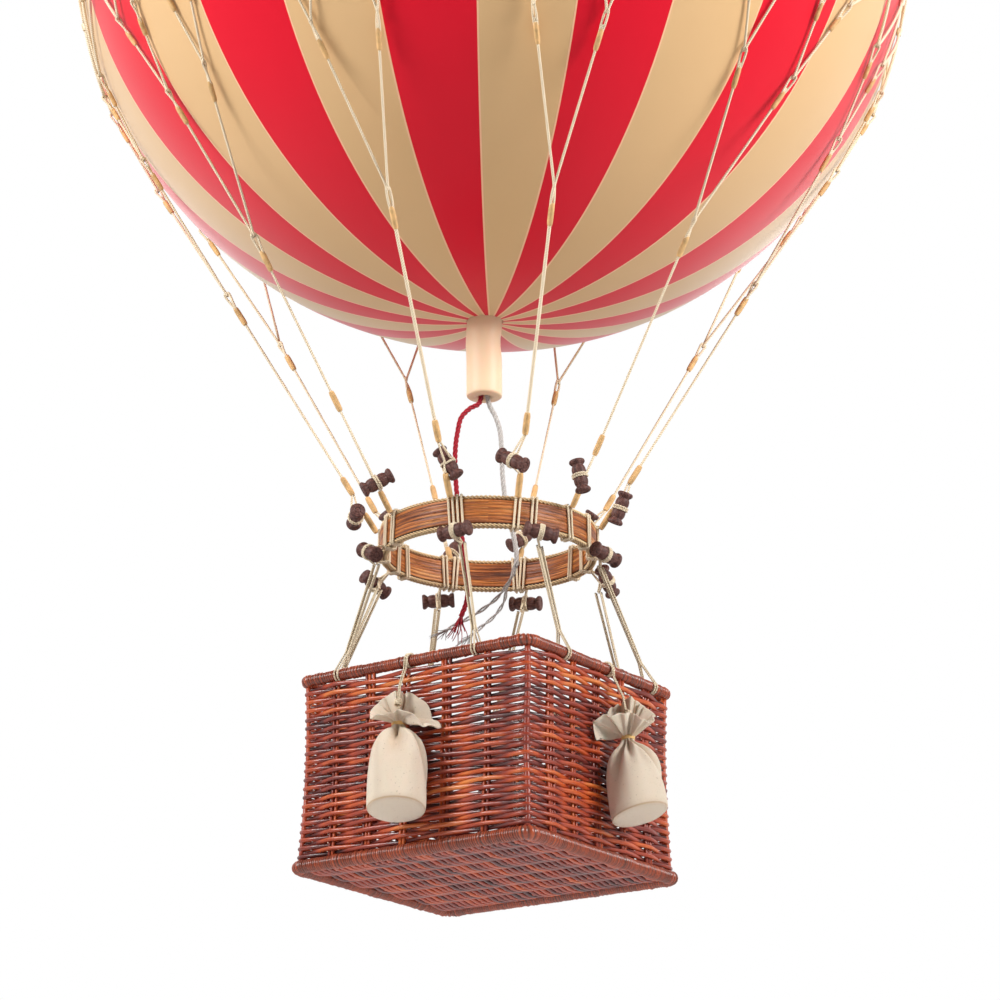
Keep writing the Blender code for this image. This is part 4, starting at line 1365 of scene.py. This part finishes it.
def half_size(axis, z):
    share = (z - BORDER_Z) / (RIM_Z - BORDER_Z)
    straight = BORDER_HALF[axis] + (RIM_HALF[axis] - BORDER_HALF[axis]) * share
    return straight - WALL_WAIST * 4 * share * (1 - share)


def corner_turns():
    """The four corners in order round the basket, as signs of its own X and Y."""
    return ((-1, -1), (1, -1), (1, 1), (-1, 1))


def basket_matrix():
    return Matrix.Rotation(BASKET_TURN, 3, "Z")


def stake_columns():
    """Stakes round the basket: place on the unit plan, outward direction, and how many rods each."""
    columns = []
    for index, (sx, sy) in enumerate(corner_turns()):
        columns.append((("corner", sx, sy), Vector((sx, sy, 0)).normalized(), 1))
        axis = 1 if index % 2 == 0 else 0
        sign = (-1, 1, 1, -1)[index]
        order = 1 if index in (0, 1) else -1
        normal = Vector((0, sign, 0)) if axis == 1 else Vector((sign, 0, 0))
        for number, place in enumerate(sorted(STAKE_PLACES, reverse=order < 0)):
            scale = 1.0 if axis == 1 else 0.9
            columns.append((("side", axis, sign, place * scale * MM), normal, 2 + (number + index) % 2))
    return columns


def column_point(column, z):
    """The middle of a stake at height z, in the basket's own plan."""
    if column[0] == "corner":
        _, sx, sy = column
        inset = 0.0016
        return Vector((sx * (half_size(0, z) - inset), sy * (half_size(1, z) - inset), z))
    _, axis, sign, place = column
    if axis == 1:
        return Vector((place, sign * half_size(1, z), z))
    return Vector((sign * half_size(0, z), place, z))


def painted_shade_sides(line):
    """Towards the wall's middle at each point of a woven rod, as long as the painted shade on that side is deep."""
    halves = np.array([[half_size(axis, z) for axis in (0, 1)] for z in line[:, 2]])
    away = np.abs(line[:, :2]) - halves
    nearest = np.argmax(away, axis=1)
    rows = np.arange(len(line))
    toward = np.zeros((len(line), 3))
    side = np.clip(away[rows, nearest] / 0.0009, -1, 1)
    toward[rows, nearest] = -side * np.sign(line[rows, nearest]) * ROD_PAINTED_SHADE
    return toward


def make_weave(finishes):
    """Rods woven round the stakes, each row before the stakes that the last one passed behind."""
    draw = random.Random(3)
    turn = basket_matrix()
    columns = stake_columns()
    z_top = RIM_Z - RIM_ROLL - 0.0007
    z_bottom = BORDER_Z + BORDER_ROLL + 0.0004
    form = Form()
    tone = 0.5
    for row in range(WEAVE_ROWS):
        share = (row + 0.5) / WEAVE_ROWS
        z = z_bottom + (z_top - z_bottom) * share
        radius = WEAVER * draw.uniform(0.90, 1.06)
        tone = 0.62 * tone + 0.38 * draw.uniform(0.15, 0.95)
        own = draw.uniform(0.12, 0.98)
        lift = draw.uniform(-0.0001, 0.0001)
        phase = draw.uniform(0, 6.28)
        points = []
        for index, (column, out, _) in enumerate(columns):
            before = 1 if (index + row) % 2 == 0 else -1
            after_column = columns[(index + 1) % len(columns)][0]
            here = column_point(column, z)
            there = column_point(after_column, z)
            if column[0] == "corner":
                reach = 0.0010 if before > 0 else 0.0004
                side_in = Vector((out.x * reach, out.y * reach, 0))
                points.append(here + side_in)
            else:
                points.append(here + out * before * WEAVE_DEPTH)
            after_out = columns[(index + 1) % len(columns)][1]
            side = out if column[0] != "corner" else after_out
            for part in (0.2, 0.5, 0.8):
                swing = math.cos(math.pi * part) * before * WEAVE_DEPTH * 0.86
                points.append(here.lerp(there, part) + side * swing)
        line = np.array([tuple(point) for point in points])
        heading = np.arctan2(line[:, 0], -line[:, 1])
        wave = 0.00030 * np.sin(3 * heading + 0.12 * row) + 0.00016 * np.sin(7 * heading + 0.3 * row + 1.0)
        line[:, 2] += lift + wave + 0.00012 * np.sin(5 * heading + phase)
        line = smooth_line(line, 0.0024, closed=True)
        vary = 0.55 * own + 0.45 * tone + 0.10 * np.sin(np.arange(len(line)) * 0.11 + phase)
        # Painted shade: each rod's tone darkens on its side towards the wall's middle, where it passes behind
        shade = painted_shade_sides(line) @ np.array(turn).T
        tube(form, line @ np.array(turn).T, radius, 8, vary[:, None], closed=True, lay=0.05, shade=shade)
    rods = form.build("woven_willow_walls", finishes["rod"])
    walls = [f"basket_wall_{name}" for name, _, _ in SIDES]
    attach(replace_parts(rods, *walls), "balloon")

    form = Form()
    for column, out, count in columns:
        along = Vector((-out.y, out.x, 0))
        for number in range(count):
            shift = (number - (count - 1) / 2) * STAKE * 2.3
            radius = CORNER_POST if column[0] == "corner" else STAKE
            line = []
            for step in range(13):
                z = BORDER_Z + (RIM_Z - BORDER_Z) * step / 12
                sway = 0.0003 * math.sin(step * 0.8 + number * 2 + shift * 3000)
                line.append(tuple(turn @ (column_point(column, z) + along * (shift + sway))))
            tube(form, line, radius, 8, draw.uniform(0.25, 0.8), lay=0.05)
    stakes = form.build("willow_stakes", finishes["rod"])
    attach(stakes, "balloon")


def rounded_plan(half, corner, z):
    """A rectangle with round corners at the basket's turn, as evenly spaced points."""
    turn = basket_matrix()
    points = []
    for quarter, (sx, sy) in enumerate(((1, 1), (-1, 1), (-1, -1), (1, -1))):
        centre = Vector((sx * (half[0] - corner), sy * (half[1] - corner), z))
        for step in range(7):
            angle = math.radians(90 * quarter + 15 * step)
            points.append(centre + Vector((math.cos(angle), math.sin(angle), 0)) * corner)
    line = [turn @ point for point in points]
    loop = stretched(line + [line[0]], 0.004)[:-1]
    return smooth_line(loop, 0.0005, closed=True)


def wound_roll(form, half, corner, z, roll, seed):
    """A roll bound with willow skeins of uneven width, with painted shade between them."""
    draw = random.Random(seed)
    route = rounded_plan(half, corner, z)
    along = lengths(np.concatenate((route, route[:1])))
    whole = along[-1]
    edges = [0.0]
    wide = 0
    while edges[-1] < whole - 0.0014:
        if wide <= 0 and draw.random() < 0.10:
            wide = draw.randint(2, 5)
        wide -= 1
        edges.append(edges[-1] + (draw.uniform(0.0014, 0.0021) if wide > 0 else draw.uniform(0.0010, 0.0014)))
    edges[-1] = whole
    places = []
    sizes = []
    tones = []
    lean = []
    for start, end in zip(edges, edges[1:]):
        width = end - start
        lift = roll * draw.uniform(0.93, 1.02) + (0.00025 if width > 0.0015 else 0.0)
        tone = draw.uniform(0.44, 0.70)
        for share, sunk in ((0.0, 1.0), (0.22, 0.25), (0.5, 0.0), (0.78, 0.25)):
            places.append(start + width * share)
            sizes.append(lift - sunk * (0.00045 + 0.14 * width))
            # Painted shade: the tone drops in the sunk grooves between the skeins
            tones.append(tone - 0.55 * sunk)
            lean.append(0.00035)
    places = np.array(places)
    closed_route = np.concatenate((route, route[:1]))
    line = np.stack([np.interp(places, along, closed_route[:, axis]) for axis in range(3)], axis=1)
    ahead, side, up = carried(line, closed=True)
    sides = 14
    angle = 2 * math.pi * np.arange(sides) / sides
    ring = np.cos(angle)[None, :, None] * side[:, None] + np.sin(angle)[None, :, None] * up[:, None]
    slant = np.sin(angle)[None, :, None] * ahead[:, None] * np.array(lean)[:, None, None]
    rows = line[:, None] + ring * np.array(sizes)[:, None, None] + slant
    form.grid(rows, places, np.array(tones)[:, None], closed=True)


def make_rolls(finishes):
    parts = (
        ("basket_rim_roll", "bound_rim", RIM_HALF, RIM_Z, RIM_ROLL, 21),
        ("basket_border_roll", "bound_border", BORDER_HALF, BORDER_Z, BORDER_ROLL, 22),
    )
    for node, name, half, z, roll, seed in parts:
        form = Form()
        wound_roll(form, half, ROLL_CORNER, z, roll, seed)
        piece = form.build(name, finishes["binding"])
        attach(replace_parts(piece, node), "balloon")


def make_base(finishes):
    """The woven bottom: sticks one way, rods packed close the other way over and under them."""
    draw = random.Random(6)
    turn = basket_matrix()
    half_x = BORDER_HALF[0] - BORDER_ROLL
    half_y = BORDER_HALF[1] - BORDER_ROLL
    z = BORDER_Z
    form = Form()
    places = [(-1 + 2 * (index + 0.5) / BASE_STICKS) * half_y for index in range(BASE_STICKS)]
    for place in places:
        line = [tuple(turn @ Vector((x, place, z))) for x in np.linspace(-half_x - 0.002, half_x + 0.002, 14)]
        tube(form, line, BASE_STICK, 8, draw.uniform(0.4, 0.8), lay=0.05)
    count = 74
    for number in range(count):
        x = (-1 + 2 * (number + 0.5) / count) * half_x
        points = [Vector((x, -half_y - 0.001, z))]
        for index, place in enumerate(places):
            under = 1 if (index + number) % 2 == 0 else -1
            points.append(Vector((x + draw.uniform(-0.00015, 0.00015), place, z - under * 0.0011)))
            if index + 1 < len(places):
                points.append(Vector((x, (place + places[index + 1]) / 2, z)))
        points.append(Vector((x, half_y + 0.001, z)))
        line = smooth_line([turn @ point for point in points], 0.0024)
        tube(form, line, WEAVER * draw.uniform(0.86, 1.0), 8, draw.uniform(0.15, 0.7), lay=0.05)
    base = form.build("woven_base", finishes["rod"])
    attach(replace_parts(base, "basket_base"), "balloon")


def bag_middle(depth):
    """How far out from the rim roll's middle a hanging bag's middle lies at this depth, in mm."""
    return np.interp(depth, *zip(*BAG_LINE))


def hanging(rows, place, tie_x, lean, tie_depth):
    """Rows of a bag made upright about its tie, in mm, hung so that it rests on the wall."""
    rows = np.asarray(rows, float)
    out = bag_middle(tie_depth)
    tilt = math.atan2(bag_middle(62) - out, 62 - tie_depth)
    low = np.clip(-rows[..., 2] / 5, 0, 1)
    high = np.clip(rows[..., 2] / 5, 0, 1)
    forward = tilt * low - math.radians(6) * high
    aside = math.radians(lean) * low
    y = rows[..., 1] * np.cos(forward) + rows[..., 2] * np.sin(forward)
    z = rows[..., 2] * np.cos(forward) - rows[..., 1] * np.sin(forward)
    x = rows[..., 0] * np.cos(aside) - z * np.sin(aside) + tie_x
    z = rows[..., 0] * np.sin(aside) + z * np.cos(aside) - tie_depth
    y = y - out
    pressed = -5.5 + 2.3 * np.tanh((y + 5.5) / 2.3)
    y = np.where(y > -5.5, pressed, y)
    matrix = np.array(place)
    return np.stack([x, y, z], axis=-1) * MM @ matrix[:3, :3].T + matrix[:3, 3]


def bag_profile(length):
    """Distance from the tie, radius and seam of a filled bag, from its bottom's middle to the tie."""
    return (
        (-length - 0.9, 0.3, 0.0),
        (-length - 0.9, 4.0, 0.0),
        (-length - 0.8, 8.0, 0.0),
        (-length - 0.5, 11.0, 0.0),
        (-length - 0.1, BAG_RADIUS - 0.75, 0.3),
        (-length + 0.15, BAG_RADIUS - 0.42, 1.0),
        (-length + 0.4, BAG_RADIUS - 0.35, 1.0),
        (-length + 0.9, BAG_RADIUS - 0.16, 0.2),
        (-length + 3.0, BAG_RADIUS, 0.0),
        (-32.0, BAG_RADIUS, 0.0),
        (-26.0, BAG_RADIUS - 0.2, 0.0),
        (-20.0, BAG_RADIUS - 0.6, 0.0),
        (-16.5, BAG_RADIUS - 1.0, 0.0),
        (-13.5, BAG_RADIUS - 1.6, 0.0),
        (-10.5, BAG_RADIUS - 2.8, 0.0),
        (-8.0, BAG_RADIUS - 4.8, 0.0),
        (-6.0, BAG_RADIUS - 6.7, 0.0),
        (-4.2, BAG_RADIUS - 8.6, 0.0),
        (-2.2, 3.2, 0.0),
        (-0.8, 2.9, 0.0),
        (0.0, BAG_THROAT, 0.0),
    )


# Pleats under the tie: place round the bag at the tie, how it wanders in degrees a mm, width in degrees,
# depth and reach
PLEATS = {
    "front_left": (
        (-5, 0.0, 17, 6.0, 18.0),
        (24, 2.2, 8, 3.6, 22.0),
        (-52, -1.0, 9, 1.5, 12.0),
        (-100, 0.0, 11, 2.0, 14.0),
        (-150, 0.0, 12, 2.2, 13.0),
        (100, 1.0, 10, 1.8, 12.0),
        (150, 0.0, 12, 2.2, 14.0),
    ),
    "front_right": (
        (-7, 0.0, 6, 4.0, 13.0),
        (-29, -0.6, 12, 3.2, 19.0),
        (20, 2.7, 11, 4.4, 19.0),
        (-66, -1.0, 8, 1.8, 13.0),
        (-110, 0.0, 11, 2.0, 14.0),
        (-160, 0.0, 12, 2.0, 14.0),
        (110, 1.0, 10, 1.8, 12.0),
        (155, 0.0, 12, 2.2, 14.0),
    ),
}
PLEATS["back_right"] = PLEATS["front_left"]
PLEATS["back_left"] = PLEATS["front_right"]

# Spread mouths over the tie: place round the bag, lean from upright at the tie and at the hem, all in
# degrees, and length of the cloth
MOUTHS = {
    "front_left": (
        (-180, 0, 12, 16.5),
        (-135, 18, 35, 15.0),
        (-95, 45, 64, 11.5),
        (-60, 60, 98, 10.5),
        (-30, 50, 95, 8.0),
        (-8, 20, 40, 6.0),
        (20, 50, 92, 9.0),
        (48, 92, 135, 16.0),
        (72, 92, 130, 19.0),
        (105, 62, 84, 18.5),
        (140, 25, 40, 17.0),
    ),
    "front_right": (
        (-180, 0, 5, 20.5),
        (-130, 30, 42, 19.0),
        (-100, 66, 84, 19.0),
        (-78, 82, 102, 20.5),
        (-52, 60, 84, 16.5),
        (-25, 35, 42, 12.0),
        (10, 20, 24, 11.0),
        (38, 36, 48, 11.0),
        (62, 46, 62, 10.0),
        (95, 22, 34, 15.0),
        (135, 12, 20, 18.0),
    ),
}
MOUTHS["back_right"] = MOUTHS["front_left"]
MOUTHS["back_left"] = MOUTHS["front_right"]


def round_table(theta, table):
    """Columns of a table read at angles theta in degrees, smooth all the way round."""
    rows = np.array(table, float)
    places = np.concatenate((rows[:, 0] - 360, rows[:, 0], rows[:, 0] + 360))
    columns = []
    for column in rows[:, 1:].T:
        values = np.tile(column, 3)
        fine = np.interp(theta[:, None] + np.linspace(-14, 14, 9)[None, :], places, values)
        columns.append(fine.mean(axis=1))
    return columns


def bag_rows(theta, length, slant, view, pleats, draw):
    """Rows of a bag's body: pleats run down from the tie and die out on the belly. Seams are toned, and the folds
    get painted shade through the tone.
    """
    heights, radii, seams = (np.array(part) for part in zip(*bag_profile(length)))
    index = np.arange(len(heights))
    fine = np.concatenate([np.linspace(0, 8, 25)[:-1], np.linspace(8, len(heights) - 1, 70)])
    heights, radii, seams = (np.interp(fine, index, part) for part in (heights, radii, seams))
    kernel = np.array((0.25, 0.5, 0.25))
    for _ in range(2):
        heights[26:-1] = np.convolve(heights[25:], kernel, mode="valid")
        radii[26:-1] = np.convolve(radii[25:], kernel, mode="valid")
    waves = [(draw.uniform(-1, 1), draw.uniform(0, 6.28)) for _ in range(4)]
    across = np.sin(np.radians(view))
    rows = []
    tones = []
    for z, radius, seam in zip(heights, radii, seams):
        dent = np.zeros(len(theta))
        for place, wander, width, depth, reach in pleats:
            away = (view - place + wander * z + 180) % 360 - 180
            fade = math.exp(-((-z / reach) ** 2.4)) * min(1.0, 0.25 - z / 4.0)
            wide = width * (1.0 + 0.3 * (-z) / reach)
            dent += depth * fade * np.exp(-((away / wide) ** 2))
            dent -= 0.34 * depth * fade * np.exp(-(((np.abs(away) - 2.0 * wide) / (0.8 * wide)) ** 2))
        belly = math.exp(-(((z + 26) / 13) ** 2))
        sway = sum(size * np.cos((k + 2) * theta + start + 0.05 * z) for k, (size, start) in enumerate(waves))
        size = np.maximum(radius - dent * min(1.0, radius / 8.0), min(radius, 1.6)) + 0.2 * belly * sway
        rise = slant * min(1.0, max(0.0, (-z - 14) / 20)) * radius * across
        rows.append(np.stack([size * np.sin(theta), -size * np.cos(theta), z + rise], axis=1))
        # The tone marks the seam and adds painted shade in the pleats' hollows
        tones.append(seam + 0.55 * np.clip(dent / 3, 0, 1))
    return np.array(rows), np.array(tones)


def mouth_rows(theta, view, table, draw):
    """Rows of the cloth over the tie, gathered there, which spreads, folds and droops by its table."""
    lean_start, lean_end, reach = round_table(view, table)
    steps = 24
    radius = np.full(len(theta), BAG_THROAT)
    height = np.zeros(len(theta))
    gathers = ((draw.randint(6, 8), 1.0), (draw.randint(13, 16), 0.7))
    wave = sum(size * np.cos(count * theta + draw.uniform(0, 6.28)) for count, size in gathers)
    rows = []
    for step in range(steps + 1):
        share = step / steps
        gather = 15 * math.exp(-(((share - 0.14) / 0.24) ** 2)) + 2.5 * share
        lean = np.radians(lean_start + (lean_end - lean_start) * share**0.75 + gather * wave)
        if step:
            radius = radius + np.sin(lean) * reach / steps
            height = height + np.cos(lean) * reach / steps
        side = theta + 0.05 * share * np.sin(6 * theta + 1.0)
        rows.append(np.stack([radius * np.sin(side), -radius * np.cos(side), height], axis=1))
    return np.array(rows)


def make_sandbags(finishes):
    """A calico bag on each side: filled, tied at the neck, its mouth spread over the tie."""
    segments = 144
    theta = 2 * math.pi * np.arange(segments) / segments
    for side_name, _, _ in SIDES:
        along_mm, tie_x, lean, tie_depth, bottom, slant, shift, seed = BAGS[side_name]
        hang = (tie_x, lean, tie_depth)
        view = (np.degrees(theta) - shift + 180) % 360 - 180
        draw = random.Random(seed)
        _, normal, _ = side_frame(side_name)
        body = f"sandbag_{side_name}"
        heading = math.atan2(normal.y, normal.x) + math.pi / 2
        place = Matrix.Translation(rim_point(side_name, along_mm)) @ Matrix.Rotation(heading, 4, "Z")

        form = Form()
        rows, tones = bag_rows(theta, bottom - tie_depth, slant, view, PLEATS[side_name], draw)
        along = np.concatenate(([0.0], np.cumsum(np.linalg.norm(np.diff(rows[:, 0], axis=0), axis=1)))) * MM
        form.grid(hanging(rows, place, *hang), along, tones)
        outer = mouth_rows(theta, view, MOUTHS[side_name], draw)
        ahead = np.roll(outer, -1, axis=1) - np.roll(outer, 1, axis=1)
        rise = np.gradient(outer, axis=0)
        normals = unit(np.cross(ahead, rise))
        inner = outer - normals * 0.5
        hem = (outer[-1:] + inner[-1:]) / 2 + unit(rise[-1:]) * 0.3
        shell = np.concatenate((outer, hem, inner[::-1]))
        deep = np.linspace(0, 1, len(outer))
        # Painted shade: the mouth's cloth darkens towards the gathered tie, more on its inside
        tones = np.concatenate((0.3 * (1 - deep) ** 2, (0.1,), 0.7 * (1 - deep[::-1]) ** 1.5))
        form.grid(hanging(shell, place, *hang), np.linspace(0, 0.04, len(shell)), tones[:, None], closed=True)
        bag = form.build(f"calico_bag_{side_name}", finishes["calico"])
        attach(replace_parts(bag, body), body)
        make_bag_cord(finishes, side_name, place, hang)


def make_bag_cord(finishes, side_name, place, hang):
    """Two strands from the rim into the bag's mouth, knotted there, and the thread of the tie."""
    tie_x, _, tie_depth = hang
    form = Form()
    reach = RIM_ROLL * 1000 + 0.62
    for shift in (-0.75, 0.75):
        ring = []
        for step in range(16):
            angle = math.radians(22.5 * step)
            ring.append((shift * (1 - 0.2 * math.cos(angle)), -reach * math.cos(angle), reach * math.sin(angle)))
        world = [place @ (Vector(point) * MM) for point in ring]
        cord_run(form, world, LANYARD * 1.25, closed=True, corner=0.004)
        beside = shift * 0.56
        fall = ((shift, -reach, 0.6), (shift * 0.8, -reach - 0.4, -4.0))
        fall += ((tie_x * 0.4 + beside, 0.8 - bag_middle(14), -14.0),)
        fall += ((tie_x * 0.8 + beside, -bag_middle(22), -23.0), (tie_x + beside, -bag_middle(30), 0.5 - tie_depth))
        cord_run(form, [place @ (Vector(point) * MM) for point in fall], LANYARD, corner=0.004, tone=0.6)
    knot = Vector((tie_x * 0.8, -bag_middle(22) - 0.3, -22.0))
    for tilt in (-25, 0, 25):
        circle = []
        for step in range(8):
            angle = math.radians(45 * step)
            point = Vector((1.4 * math.cos(angle), 1.4 * math.sin(angle), 0.05 * tilt * math.cos(angle + tilt)))
            circle.append(place @ ((knot + point) * MM))
        cord_run(form, circle, LANYARD * 1.3, closed=True, corner=0.004)
    form.finish = 1
    for level in (-0.6, 0.0, 0.6):
        angles = np.linspace(0, 2 * math.pi, 25)[:-1]
        size = BAG_THROAT + 0.35
        circle = np.stack([size * np.cos(angles), size * np.sin(angles), np.full(24, level)], axis=1)
        circle[:, 2] += 0.15 * np.sin(2 * angles + level)
        line = smooth_line(hanging(circle[None], place, *hang)[0], 0.0009, closed=True)
        tube(form, line, 0.00038, 6, closed=True, lay=0.002)
    tie = form.build(f"bag_cord_{side_name}", finishes["cord"], finishes["tie"])
    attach(tie, f"sandbag_{side_name}")


def main():
    make_camera()
    finishes = make_materials()
    make_free_cords(finishes)
    make_room()
    make_envelope(finishes)
    make_neck(finishes)
    make_crown(finishes)
    make_load_ring(finishes)
    make_net(finishes)
    make_toggles(finishes)
    make_basket_cords(finishes)
    make_weave(finishes)
    make_rolls(finishes)
    make_base(finishes)
    make_sandbags(finishes)


main()
